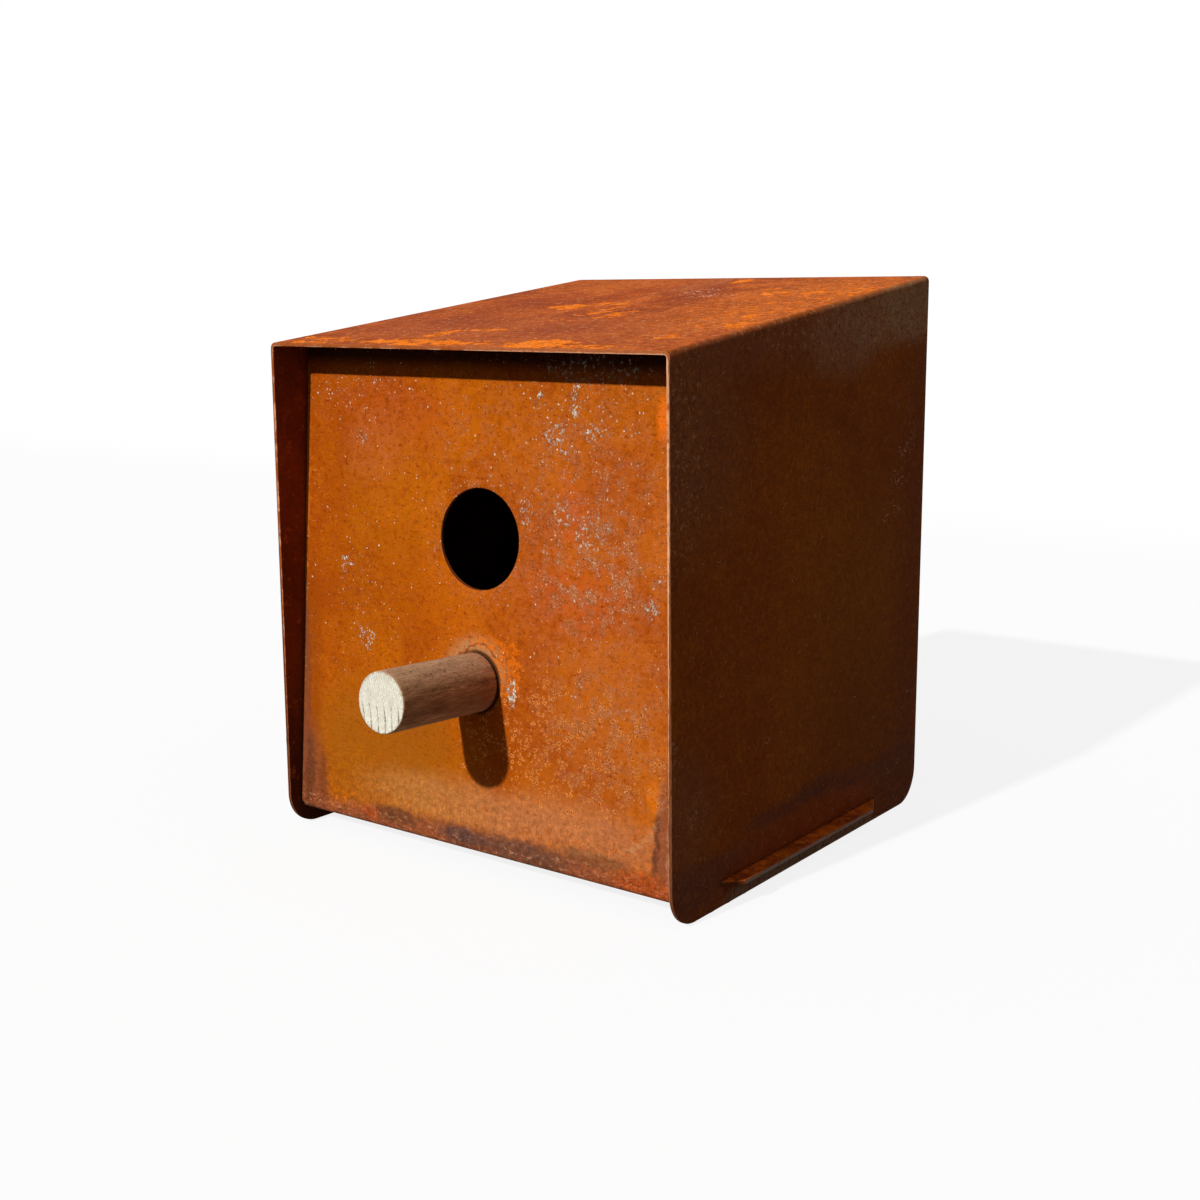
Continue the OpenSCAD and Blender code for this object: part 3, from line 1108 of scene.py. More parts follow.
@dataclass(frozen=True)
class HoodFinish(Finish):
    """Rust of the hood's outside, which turns from the sides' to the roof's over the folds."""

    roof: RoofFinish = RoofFinish()
    side: SideFinish = SideFinish()
    half_width: float = House.width / 2

    def shader(self, graph: Graph) -> Wire:
        """Builds the look.

        Args:
            graph: The material's tree.

        Returns:
            The shader.
        """
        across = graph.point.parts()[0].size()
        ragged = graph.point.patches(3, 3, 0.6) * 2.4 - 1.2
        on_roof = (across + ragged).step(self.half_width - 0.2, self.half_width - 2.4)
        inputs = {"Fac": on_roof, "Shader": self.side.shader(graph),
                  "Shader_001": self.roof.shader(graph)}
        return graph.add("ShaderNodeMixShader", {}, inputs).out("Shader")


@dataclass(frozen=True)
class PlainRust(Finish):
    """Rust of a face that carries no marks of its own."""

    tones: RustTones
    flake: Colour
    relief: float = 0.3
    low_shade: float = 0.0
    # Painted shade laid towards the bottom, by low_shade.
    painted_low_shade_colour: Colour = srgb(58, 22, 10)
    pit: Colour = srgb(84, 34, 12)

    def shader(self, graph: Graph) -> Wire:
        """Builds the look.

        Args:
            graph: The material's tree.

        Returns:
            The shader.
        """
        low = graph.point.parts()[2].step(40, -110)
        crust = graph.point.warped(1.2, 0.6).patches(7, 5, 0.75)
        flakes = crust.step(0.58, 0.66)
        cells = Cells(graph.point.warped(1.2, 0.5), 2.2)
        pit = cells.discs(cells.kind > 0.4, 0.3, 1)
        crumb = cells.discs(cells.kind < 0.3, 0.3, 0.9)
        colour = graph.coated(self.tones.colour(graph, graph.point), [
            # Painted shade, darker towards the bottom, comes first in this list.
            (low * self.low_shade, self.painted_low_shade_colour), (flakes * 0.6, self.flake), (pit * 0.5, self.pit),
            (crumb * 0.4, self.flake)])
        grain = graph.point.patches(1.2, 4, 0.75)
        height = grain * 0.6 + flakes * 0.3 + crumb * 0.3 - pit * 0.4
        return graph.surface(colour, grain * 0.2 + 0.7, height, self.relief)


# The inside walls get painted shade, darker towards the bottom.
INSIDE_RUST = PlainRust(RustTones(srgb(112, 48, 16), srgb(132, 58, 18), srgb(152, 72, 24)),
                        srgb(176, 86, 32), low_shade=0.8)
UNDER_RUST = PlainRust(RustTones(srgb(132, 62, 24), srgb(152, 76, 26), srgb(172, 94, 36)),
                       srgb(196, 110, 48))
# Rust of the roof's underside, darkened to near black as painted shade.
ROOF_UNDER_PAINTED_SHADE_RUST = PlainRust(RustTones(srgb(58, 22, 6), srgb(72, 28, 8), srgb(86, 36, 10)),
                            srgb(104, 46, 14))
FLOOR_RUST = PlainRust(RustTones(srgb(122, 48, 10), srgb(164, 72, 12), srgb(200, 96, 16), 14.0, 5.0,
                                 0.8, 1.3), srgb(206, 104, 24))
LIME_GRAIN = PlainRust(RustTones(srgb(198, 148, 108), srgb(216, 176, 140), srgb(232, 204, 172),
                                 3.0, 1.5), srgb(238, 220, 198), 0.05)


@dataclass(frozen=True)
class CutEdge(Finish):
    """Cut edge of the sheet: pale rust near the inner face, brown crust and painted shade towards the
    outer one.
    """

    thickness: float = House.sheet
    pale: Colour = srgb(226, 160, 116)
    rust: Colour = srgb(158, 80, 36)
    # Brown crust, which also paints the shade on the edge's outer part.
    crust: Colour = srgb(88, 42, 16)

    def shader(self, graph: Graph) -> Wire:
        """Builds the look.

        Args:
            graph: The material's tree.

        Returns:
            The shader.
        """
        under = graph.add("ShaderNodeAttribute", {"attribute_name": "under"}, {}).out("Fac") / MM
        clouds = graph.point.patches(11, 5, 0.7)
        across, _, up = graph.point.parts()
        worn = (clouds + across.step(-60, 90) * 0.12).step(0.46, 0.62)
        colour = graph.mix(worn, self.rust, self.pale)
        along_roof = up.step(84, 86)
        # Painted shade: a brown band on the edge's outer part, wider lower down and lighter along the
        # roof.
        border = (clouds * 1.2 + up.step(40, -90) * 0.6 - 0.3 + along_roof * 0.4) * self.thickness
        outer = graph.mix(along_roof, self.crust, self.rust)
        colour = graph.mix((border - under).step(-0.2, 0.25) * 0.9, colour, outer)
        lines = graph.point.stretched(1, 1, 0.3).patches(0.9, 3, 0.65)
        colour = graph.shaded(colour, lines, 1.3)
        return graph.surface(colour, 0.75, lines, 0.12)


@dataclass(frozen=True)
class ShearedEdge(Finish):
    """Sheared free edge of a tab: grey-brown scale with upright tear lines and bare spots."""

    scale: Colour = srgb(92, 66, 46)
    rust: Colour = srgb(92, 44, 16)
    bare: Colour = srgb(196, 150, 112)

    def shader(self, graph: Graph) -> Wire:
        """Builds the look.

        Args:
            graph: The material's tree.

        Returns:
            The shader.
        """
        upright = graph.point.stretched(1, 1, 0.22)
        lines = upright.patches(0.8, 4, 0.75)
        clouds = graph.point.patches(7, 4, 0.65)
        away = graph.point.parts()[1]
        rusty = (clouds + away.step(-130, -60) * 0.2).step(0.46, 0.64)
        colour = graph.shaded(graph.mix(rusty, self.scale, self.rust), lines, 2)
        bare = (upright.patches(1.6, 4, 0.8) + clouds * 0.3).step(0.76, 0.82)
        colour = graph.mix(bare * 0.8, colour, self.bare)
        return graph.surface(colour, 0.6, lines + bare * 0.5, 0.25, sheen=0.2)


@dataclass(frozen=True)
class WoodFinish(Finish):
    """Untreated wood of a dowel that stands on a seat."""

    seat: Seat
    middle: Colour = srgb(152, 112, 74)

    def local(self, graph: Graph) -> Wire:
        """Turns coordinates into the dowel's own in millimetres, with its axis along the third."""
        inputs = {"Vector": graph.point, "Location": tuple(self.seat.origin / MM),
                  "Rotation": (self.seat.turn, 0.0, 0.0)}
        return graph.add("ShaderNodeMapping", {"vector_type": "TEXTURE"}, inputs).out("Vector")


@dataclass(frozen=True)
class WoodSide(WoodFinish):
    """Weathered grey-brown side with its grain along the axis, stained, with dust and a painted
    highlight on top, painted shade below its middle and at its base, and painted bounce light
    underneath.
    """

    dark: Colour = srgb(116, 78, 48)
    light: Colour = srgb(190, 148, 106)
    pore: Colour = srgb(66, 40, 22)
    dust: Colour = srgb(192, 156, 124)
    stain: Colour = srgb(184, 110, 62)
    # Painted contact shade where the dowel meets the panel.
    painted_contact_shade: Colour = srgb(40, 18, 8)

    def shader(self, graph: Graph) -> Wire:
        """Builds the look.

        Args:
            graph: The material's tree.

        Returns:
            The shader.
        """
        local = self.local(graph)
        fibre = local.stretched(1, 1, 0.16).patches(0.5, 4, 0.75)
        band = local.stretched(1, 1, 0.22).patches(2.6, 4, 0.7)
        colour = band.ramp([(0.32, self.dark), (0.5, self.middle), (0.68, self.light)])
        _, up, out = local.parts()
        fluff = local.stretched(1, 1, 0.5).patches(0.6, 4, 0.8)
        cells = Cells(local.stretched(1, 1, 0.3), 0.9)
        pores = cells.discs(cells.kind < 0.45, 0.12, 0.4)
        rusty = out.step(9, 0) * local.patches(3, 4, 0.7).step(0.35, 0.6)
        colour = graph.shaded(graph.shaded(colour, fibre, 2), fluff, 1.2)
        colour = graph.coated(colour, [
            # Dust on the top, which also stands in for the top's painted highlight.
            (up.step(3, 11) * fluff.step(0.35, 0.6) * 0.7, self.dust),
            # Painted shade in a band just below the middle, where the side turns from the light.
            (up.step(4, -3) * up.step(-9, -3) * 0.4, self.dark),
            # Painted bounce light on the underside.
            (up.step(-4, -10) * 0.25, self.light),
            (pores * 0.6, self.pore),
            (rusty * 0.5, self.stain),
            # Painted contact shade at the base.
            (out.step(1.6, 0.9), self.painted_contact_shade)])
        height = fibre * 0.7 + band * 0.2 - pores * 0.6
        return graph.surface(colour, fibre * 0.15 + 0.75, height, 0.3, sheen=0.2)


@dataclass(frozen=True)
class WoodEnd(WoodFinish):
    """Pale sawn end with growth rings and saw marks."""

    sawn: Colour = srgb(232, 226, 208)
    sawn_warm: Colour = srgb(204, 192, 164)
    ring: Colour = srgb(104, 88, 66)
    ring_spacing: float = 3.5
    pith: Pair = (-60.0, -14.0)

    def shader(self, graph: Graph) -> Wire:
        """Builds the look.

        Args:
            graph: The material's tree.

        Returns:
            The shader.
        """
        local = self.local(graph)
        place = local.warped(7, 0.5)
        flat = place.stretched(1, 1, 0)
        phase = graph.math("FRACT", flat.away(self.pith) / self.ring_spacing)
        late = phase.step(0.72, 0.95) * phase.step(1, 0.96)
        across, up, _ = place.parts()
        broken = local.patches(1.6, 4, 0.75).step(0.36, 0.6)
        rings = late * broken * (up.step(3.5, -5) * 0.95 + 0.05)
        blotch = local.patches(4, 5, 0.7)
        colour = graph.mix(blotch.step(0.45, 0.68) * 0.5, self.sawn, self.sawn_warm)
        fluff = local.stretched(1, 0.5, 1).patches(0.55, 4, 0.8)
        band = (up - across * 0.08 + 1.5).size().step(0.5, 0.1) * fluff.step(0.35, 0.6)
        kerf = graph.math("SINE", across * 5.2 + up * 1.6 + blotch * 9).step(0.5, 1)
        rim = graph.vector("LENGTH", flat).out("Value").step(10.4, 11.6)
        worn = local.patches(1.2, 4, 0.75).step(0.4, 0.6)
        colour = graph.coated(graph.shaded(colour, fluff, 1.3), [
            (rings * 0.9, self.ring), (band * 0.12, self.ring),
            (kerf * up.step(-2, 6) * 0.25, self.ring), (rim * worn * 0.8, self.middle)])
        height = fluff * 0.5 - rings * 0.6 - kerf * 0.2
        return graph.surface(colour, 0.85, height, 0.3, sheen=0.1)


@dataclass(frozen=True)
class ZincFinish(Finish):
    """Dull zinc plate with grey clouds."""

    bright: Colour = srgb(196, 198, 200)
    dull: Colour = srgb(142, 144, 148)

    def shader(self, graph: Graph) -> Wire:
        """Builds the look.

        Args:
            graph: The material's tree.

        Returns:
            The shader.
        """
        clouds = graph.point.patches(2.5, 4, 0.6)
        colour = graph.mix(clouds.step(0.4, 0.65), self.bright, self.dull)
        fine = graph.point.patches(0.4, 2, 0.6)
        return graph.surface(colour, clouds * 0.25 + 0.3, fine, 0.03, 0.9, 0.5)


def circle(centre: Pair, radius: float, count: int) -> Rows:
    """Gives a closed round loop of a count of points, anticlockwise."""
    return arc(centre, radius, 0, 2 * math.pi, count + 1)[:-1]


def arc(centre: Pair, radius: float, start: float, end: float, count: int) -> Rows:
    """Gives a count of points along a circle from one angle to another, with both ends."""
    angle = np.linspace(start, end, count)
    return np.stack([centre[0] + radius * np.cos(angle), centre[1] + radius * np.sin(angle)], 1)


def dense(loop: Rows, step: float = 4.0) -> Rows:
    """Adds points to a closed loop until no side is longer than a step.

    Args:
        loop: The loop's corners.
        step: The longest side allowed.

    Returns:
        The loop with the added points.
    """
    rows = []
    for first, second in sides_of([loop]):
        count = max(1, math.ceil(np.linalg.norm(second - first) / step))
        share = np.arange(count)[:, None] / count
        rows.append(first + (second - first) * share)
    return np.concatenate(rows)


def sides_of(loops: Sequence[Rows]) -> Iterator[tuple[Rows, Rows]]:
    """Gives the two ends of each side of closed loops."""
    return ((first, second) for loop in loops for first, second in zip(loop, np.roll(loop, -1, 0)))


def inside(points: Rows, loops: Sequence[Rows]) -> Rows:
    """Tells which points lie inside an outline and in none of its holes.

    Args:
        points: One row for each point.
        loops: The corners of the outline and of the holes.

    Returns:
        True for each point inside.
    """
    found = np.zeros(len(points), bool)
    for first, second in sides_of(loops):
        if first[1] != second[1]:
            spans = (first[1] > points[:, 1]) != (second[1] > points[:, 1])
            share = (points[:, 1] - first[1]) / (second[1] - first[1])
            found ^= spans & (points[:, 0] < first[0] + (second[0] - first[0]) * share)
    return found


def distance(points: Rows, loops: Sequence[Rows]) -> Rows:
    """Measures how far points are from the nearest side of closed loops.

    Args:
        points: One row for each point.
        loops: The loops' corners.

    Returns:
        One distance for each point.
    """
    nearest = np.full(len(points), np.inf)
    for first, second in sides_of(loops):
        side = second - first
        share = np.clip(((points - first) @ side) / max(side @ side, 1e-12), 0, 1)
        gap = np.linalg.norm(points - first - share[:, None] * side, axis=1)
        nearest = np.minimum(nearest, gap)
    return nearest


def border_of(triangles: Sequence[Triangle]) -> dict[int, int]:
    """Gives the vertex that follows each one along the edges of a sheet of triangles."""
    sides = dict.fromkeys(side for a, b, c in triangles for side in ((a, b), (b, c), (c, a)))
    return {a: b for a, b in sides if (b, a) not in sides}


def inward(flat: Rows, border: dict[int, int]) -> tuple[Rows, Rows]:
    """Finds the way from the edges into the sheet.

    Args:
        flat: The flat sheet's points.
        border: The vertex that follows each one along the edges.

    Returns:
        The edges' vertices in rising order, and for each one the step inwards that lies one
        millimetre off both of its sides.
    """
    previous = {b: a for a, b in border.items()}
    rim = np.array(sorted(border))
    after = flat[[border[i] for i in rim]] - flat[rim]
    before = flat[rim] - flat[[previous[i] for i in rim]]
    normals = [np.stack([-way[:, 1], way[:, 0]], 1) / np.linalg.norm(way, axis=1)[:, None]
               for way in (after, before)]
    steps = normals[0] + normals[1]
    return rim, steps / np.maximum((steps * normals[0]).sum(1), SHARPEST)[:, None]


Folding = Callable[[Rows, Rows, Rows], Rows]


@dataclass
class FlatSheet:
    """A sheet cut flat: its outline and holes in millimetres, which are filled and then folded.

    One that lies face down has its outer face underneath while it is flat.
    """

    outline: Rows
    holes: list[Rows]
    columns: Rows
    face_down: bool = False
    edge_radius: float = 0.22
    edge_parts: int = 2
    rim_gap: float = 0.9
    weld: float = 1e-6

    def fill(self) -> tuple[Rows, list[Triangle]]:
        """Fills the outline with triangles on a grid, leaving the holes open.

        Returns:
            The points and the triangles.
        """
        loops = [self.outline, *self.holes]
        rim = np.concatenate(loops)
        sides, start = [], 0
        for loop in loops:
            count = len(loop)
            sides += [(start + i, start + (i + 1) % count) for i in range(count)]
            start += count
        low, high = self.outline.min(0), self.outline.max(0)
        rows = np.linspace(low[1], high[1], max(2, round((high[1] - low[1]) / GRID)) + 1)
        grid = np.stack(np.meshgrid(self.columns, rows), -1).reshape(-1, 2)
        keep = inside(grid, loops) & (distance(grid, loops) > self.rim_gap)
        points = np.concatenate([rim, grid[keep]])
        made = delaunay_2d_cdt([Vector(p) for p in points], sides, [], 0, self.weld)
        points = np.array([tuple(p) for p in made[0]])
        faces = np.array([tuple(f) for f in made[2]])
        inner = inside(points[faces].mean(1), loops)
        return points, [tuple(int(i) for i in f) for f in faces[inner]]

    def edge_profile(self, thickness: float) -> list[Pair]:
        """Gives the cut edge's section.

        Args:
            thickness: The sheet's thickness.

        Returns:
            Pairs of inset and depth, from the outer face down.
        """
        turns = [i * QUARTER / self.edge_parts for i in range(self.edge_parts + 1)]
        r = self.edge_radius
        upper = [(r * (1 - math.sin(t)), r * (1 - math.cos(t))) for t in turns]
        return upper + [(inset, thickness - deep) for inset, deep in reversed(upper)]

    def piece(self, name: str, fold: Folding, thickness: float,
              materials: Sequence[Material]) -> Piece:
        """Folds the filled sheet into a closed shell with rounded cut edges.

        Args:
            name: The object's name.
            fold: Turns flat places and depths under the outer face into metres.
            thickness: The sheet's thickness.
            materials: Materials of the outer face, the inner face and the cut edge.

        Returns:
            The object, with the attribute under, the depth under the outer face in metres.
        """
        flat, triangles = self.fill()
        border = border_of(triangles)
        rim, steps = inward(flat, border)
        profile = self.edge_profile(thickness)
        seats = flat.copy()
        seats[rim] += steps * profile[0][0]
        count = len(flat)
        places = [seats, seats]
        depths = [np.zeros(count), np.full(count, thickness)]
        for inset, deep in profile[1:-1]:
            places.append(flat[rim] + steps * inset)
            depths.append(np.full(len(rim), deep))
        order = {int(v): 2 * count + i for i, v in enumerate(rim)}
        lanes = {v: [v, *(start + k * len(rim) for k in range(len(profile) - 2)), v + count]
                 for v, start in order.items()}
        faces = [*triangles, *((c + count, b + count, a + count) for a, b, c in triangles)]
        which = [Side.OUTER] * len(triangles) + [Side.INNER] * len(triangles)
        for vertex, other in border.items():
            near, far = lanes[vertex], lanes[other]
            faces += [(near[k + 1], far[k + 1], far[k], near[k]) for k in range(len(near) - 1)]
            which += [Side.EDGE] * (len(near) - 1)
        if self.face_down:
            faces = [face[::-1] for face in faces]
        place, under = np.concatenate(places), np.concatenate(depths)
        points = fold(place[:, 0], place[:, 1], under)
        piece = new_piece(name, points, faces, materials, which)
        marks = piece.data.attributes.new("under", "FLOAT", "POINT")
        marks.data.foreach_set("value", under * MM)
        return piece


@dataclass
class Hood:
    """The folded hood: left side, sloping roof and right side from one sheet."""

    house: House
    outside: HoodFinish = field(default_factory=HoodFinish)
    fold_steps: int = 8
    foot_points: int = 14

    @property
    def flat_half(self) -> float:
        """Half of the roof's flat width between its folds."""
        return self.house.width / 2 - self.house.bend

    @property
    def fold_length(self) -> float:
        """Length of a fold along the middle of the sheet."""
        return self.house.middle_radius * QUARTER

    @property
    def fold_places(self) -> Rows:
        """Places along the flat width at which the right fold is divided."""
        return np.linspace(0, 1, self.fold_steps + 1) * self.fold_length + self.flat_half

    def drop(self, run: Rows) -> Rows:
        """Gives how far the outer face lies below the roof, square to it, along the flat width."""
        past = np.abs(run) - self.flat_half
        angle = np.clip(past / self.fold_length, 0, 1) * QUARTER
        return self.house.bend * (1 - np.cos(angle)) + np.maximum(past - self.fold_length, 0)

    def front(self, run: Rows) -> Rows:
        """Gives the distance of the raked front edge from the wall along the flat width."""
        rate = self.house.rake / self.house.front_height
        top = self.house.roof_top(0) - self.drop(run) / math.cos(self.house.slope)
        return (self.house.foot_depth + rate * top) / (1 + rate * math.tan(self.house.slope))

    def run(self, depth: Rows, height: Rows) -> Rows:
        """Gives the place along the flat width of a point on the right side."""
        below = (self.house.roof_top(depth) - height) * math.cos(self.house.slope)
        return self.flat_half + self.fold_length + below - self.house.bend

    def side_loop(self) -> Rows:
        """Lists the right side's outline from the roof down its front and up its wall edge.

        Returns:
            Rows of distance from the wall and height.
        """
        house = self.house
        rake = math.atan2(house.rake, house.front_height)
        radius = house.foot_radius
        inset = radius * (1 - math.sin(rake)) / math.cos(rake)
        front = arc((house.foot_depth - inset, radius), radius, -rake, -QUARTER, self.foot_points)
        wall = arc((radius, radius), radius, -QUARTER, -math.pi, self.foot_points)
        return np.concatenate([front, wall])

    def outline(self) -> Rows:
        """Lists the flat sheet's outline.

        Returns:
            Its corners, anticlockwise.
        """
        span = self.fold_places
        side = self.side_loop()
        lower = np.stack([self.run(side[:, 0], side[:, 1]), side[:, 0]], 1)
        fold_front = np.stack([span, self.front(span)], 1)
        fold_wall = np.stack([span[::-1], np.zeros(len(span))], 1)
        right = np.concatenate([fold_front, lower, fold_wall])
        left = right[::-1] * (-1, 1)
        loop = np.concatenate([right, left])
        return dense(loop[::-1])

    def slots(self) -> list[Rows]:
        """Lists the slot of each side in the flat sheet.

        Returns:
            The slots' corners.
        """
        house = self.house
        half = house.tab_length / 2 + house.slot_clearance
        low, high = house.floor_height, house.floor_height + house.sheet + house.slot_play
        near, far = house.tab_middle - half, house.tab_middle + half
        corners = np.array([(near, low), (far, low), (far, high), (near, high)])
        right = np.stack([self.run(corners[:, 0], corners[:, 1]), corners[:, 0]], 1)
        return [dense(right), dense(right[::-1] * (-1, 1))]

    def columns(self) -> Rows:
        """Lists where the grid's columns stand along the flat width.

        Returns:
            Their places in rising order.
        """
        roof = np.linspace(0, self.flat_half - FOLD_MARGIN, round(self.flat_half / GRID) + 1)
        start = self.flat_half + self.fold_length + FOLD_MARGIN
        end = float(self.run(np.array(0.0), np.array(0.0)))
        side = np.linspace(start, end, round((end - start) / GRID))
        right = np.concatenate([roof, self.fold_places, side])
        return np.unique(np.round(np.concatenate([-right, right]), 6))

    def fold(self, run: Rows, depth: Rows, under: Rows) -> Rows:
        """Folds flat places into the hood's shape.

        Args:
            run: Places along the flat width.
            depth: Distances from the wall.
            under: Depths under the outer face.

        Returns:
            Points in metres.
        """
        house = self.house
        past = np.abs(run) - self.flat_half
        angle = np.clip(past / self.fold_length, 0, 1) * QUARTER
        radius = house.bend - under
        across = np.minimum(np.abs(run), self.flat_half) + radius * np.sin(angle)
        below = house.bend - radius * np.cos(angle) + np.maximum(past - self.fold_length, 0)
        height = house.roof_top(depth) - below / math.cos(house.slope)
        return house.placed(np.sign(run) * across, depth, height)

    def build(self) -> None:
        """Makes the hood's piece and lets it stand for the CAD node."""
        materials = [self.outside.material("hood_rust"),
                     INSIDE_RUST.material("hood_inside_rust"),
                     CutEdge().material("hood_cut_edge"),
                     # The roof's underside takes rust darkened as painted shade.
                     ROOF_UNDER_PAINTED_SHADE_RUST.material("hood_under_roof_painted_shade_rust")]
        sheet = FlatSheet(self.outline(), self.slots(), self.columns(), face_down=True)
        piece = sheet.piece("hood_sheet", self.fold, self.house.sheet, materials)
        for face in piece.data.polygons:
            if face.material_index == Side.INNER and face.normal.z < -FACING:
                face.material_index = Side.UNDER
        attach(piece, BODY)
        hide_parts("hood")
        log_piece(piece)


@dataclass
class Tray:
    """The folded tray: leaning front, floor with side tabs, and wall plate from one sheet."""

    house: House
    front_finish: PanelFinish = field(default_factory=PanelFinish)
    entrance_diameter: float = 40.0
    entrance_height: float = 133.0
    screw_hole: float = 5.5
    drain_diameter: float = 6.0
    drain_edge: float = 40.0
    fixing_diameter: float = 5.5
    fixing_across: float = 120.0
    fixing_up: float = 150.0
    fold_steps: int = 8
    entrance_sides: int = 96
    hole_sides: int = 32
    stain: float = 6.0

    @property
    def panel_length(self) -> float:
        """Length of the panel's flat face from its fold to its top edge."""
        house = self.house
        top = house.roof_under(house.panel_depth(house.front_height)) - house.panel_gap
        return (top - house.fold_height - house.bend * math.sin(house.lean)) / math.cos(house.lean)

    @property
    def front_turn(self) -> float:
        """Angle of the front fold, in radians."""
        return QUARTER + self.house.lean

    @property
    def floor_start(self) -> float:
        """Place along the sheet where the floor begins, behind the front fold."""
        return self.panel_length + self.house.middle_radius * self.front_turn

    @property
    def floor_end(self) -> float:
        """Place along the sheet where the floor ends, before the wall fold."""
        return self.floor_start + self.house.front_fold - self.house.bend

    @property
    def plate_start(self) -> float:
        """Place along the sheet where the wall plate begins."""
        return self.floor_end + self.house.middle_radius * QUARTER

    @property
    def length(self) -> float:
        """Whole length of the flat sheet."""
        top = self.house.roof_under(self.house.sheet) - self.house.plate_gap
        return self.plate_start + top - self.house.fold_height

    def on_panel(self, height: float) -> float:
        """Gives the place along the sheet of a height on the panel's face."""
        house = self.house
        rise = height - house.fold_height - house.bend * math.sin(house.lean)
        return self.panel_length - rise / math.cos(house.lean)

    def on_floor(self, depth: float) -> float:
        """Gives the place along the sheet of a distance from the wall on the floor."""
        return self.floor_start + self.house.front_fold - depth

    def on_plate(self, height: float) -> float:
        """Gives the place along the sheet of a height on the wall plate."""
        return self.plate_start + height - self.house.fold_height

    def outline(self) -> Rows:
        """Lists the flat sheet's outline.

        Returns:
            Its corners, anticlockwise.
        """
        house = self.house
        half, reach = house.tray_width / 2, house.width / 2
        near = self.on_floor(house.tab_middle + house.tab_length / 2)
        far = self.on_floor(house.tab_middle - house.tab_length / 2)
        tip = reach + house.tab_reach
        right = [(0.0, half), (near, half), (near, reach), (near + house.slant_front, tip),
                 (far - house.slant_back, tip), (far, reach), (far, half), (self.length, half)]
        left = [(run, -across) for run, across in reversed(right)]
        return dense(np.array(right + left)[::-1])

    def holes(self) -> list[Rows]:
        """Lists the entrance, the screw's hole, the drain holes and the wall fixing holes.

        Returns:
            The holes' corners.
        """
        loops = [circle((self.on_panel(self.entrance_height), 0.0), self.entrance_diameter / 2,
                        self.entrance_sides),
                 circle((self.on_panel(self.house.perch_height), 0.0), self.screw_hole / 2,
                        self.hole_sides)]
        across = self.house.tray_width / 2 - self.drain_edge
        depths = (self.drain_edge, self.house.front_fold - self.drain_edge)
        heights = (ORIGIN_HEIGHT - self.fixing_up / 2, ORIGIN_HEIGHT + self.fixing_up / 2)
        for sign in (-1, 1):
            for depth in depths:
                place = (self.on_floor(depth), sign * across)
                loops.append(circle(place, self.drain_diameter / 2, self.hole_sides))
            for height in heights:
                place = (self.on_plate(height), sign * self.fixing_across / 2)
                loops.append(circle(place, self.fixing_diameter / 2, self.hole_sides))
        return loops

    def columns(self) -> Rows:
        """Lists where the grid's columns stand along the sheet.

        Returns:
            Their places in rising order.
        """
        share = np.linspace(0, 1, self.fold_steps + 1)
        count = round(self.panel_length / GRID)
        panel = np.linspace(0, self.panel_length - FOLD_MARGIN, count)
        front = self.panel_length + share * (self.floor_start - self.panel_length)
        count = round((self.floor_end - self.floor_start) / GRID)
        floor = np.linspace(self.floor_start + FOLD_MARGIN, self.floor_end - FOLD_MARGIN, count)
        back = self.floor_end + share * (self.plate_start - self.floor_end)
        count = round((self.length - self.plate_start) / GRID)
        plate = np.linspace(self.plate_start + FOLD_MARGIN, self.length, count)
        return np.unique(np.round(np.concatenate([panel, front, floor, back, plate]), 6))

    def fold(self, run: Rows, across: Rows, under: Rows) -> Rows:
        """Folds flat places into the tray's shape.

        Args:
            run: Places along the sheet from the panel's top edge.
            across: Distances to the right of the middle.
            under: Depths under the outer face.

        Returns:
            Points in metres.
        """
        house = self.house
        radius = house.bend - under
        front = np.clip((run - self.panel_length) / house.middle_radius, 0, self.front_turn)
        angle = house.lean - front
        back = np.clip((run - self.floor_end) / house.middle_radius, 0, QUARTER)
        rise = np.maximum(self.panel_length - run, 0)
        front_depth = house.front_fold + radius * np.cos(angle) - rise * math.sin(house.lean)
        front_height = house.fold_height + radius * np.sin(angle) + rise * math.cos(house.lean)
        along = np.clip(run - self.floor_start, 0, self.floor_end - self.floor_start)
        climb = np.maximum(run - self.plate_start, 0)
        back_depth = house.bend - radius * np.sin(back)
        back_height = house.fold_height - radius * np.cos(back) + climb
        past = run > self.floor_end
        depth = np.where(past, back_depth, front_depth - along)
        height = np.where(past, back_height, front_height)
        return house.placed(across, depth, height)

    def build(self) -> None:
        """Makes the tray's piece and lets it stand for the CAD node."""
        materials = [self.front_finish.material("panel_rust"),
                     FLOOR_RUST.material("tray_floor_rust"),
                     CutEdge(pale=srgb(158, 84, 34)).material("tray_cut_edge"),
                     UNDER_RUST.material("tray_under_rust"),
                     INSIDE_RUST.material("tray_inside_rust"),
                     ShearedEdge().material("tab_sheared_edge")]
        sheet = FlatSheet(self.outline(), self.holes(), self.columns())
        piece = sheet.piece("tray_sheet", self.fold, self.house.sheet, materials)
        self.dress(piece)
        crumbs = Crumbs()
        crumbs.spread(piece)
        crumbs.tree(LIME_GRAIN.material("panel_crumb_lime")).apply(piece, {"Amount": 1.0})
        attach(piece, BODY)
        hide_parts("tray")
        log_piece(piece)

    def dress(self, piece: Piece) -> None:
        """Gives the hidden outer faces, the inner walls and the tabs' ends their own rust.

        Args:
            piece: The folded sheet.
        """
        for face in piece.data.polygons:
            height = face.center.z / MM + ORIGIN_HEIGHT
            if face.material_index == Side.OUTER and face.normal.y > -FACING:
                face.material_index = Side.UNDER
            elif face.material_index == Side.INNER and height > self.house.floor_height + self.stain:
                face.material_index = Side.WALL
            elif face.material_index == Side.EDGE and abs(face.normal.x) > SQUARE_ON:
                face.material_index = Side.TAB


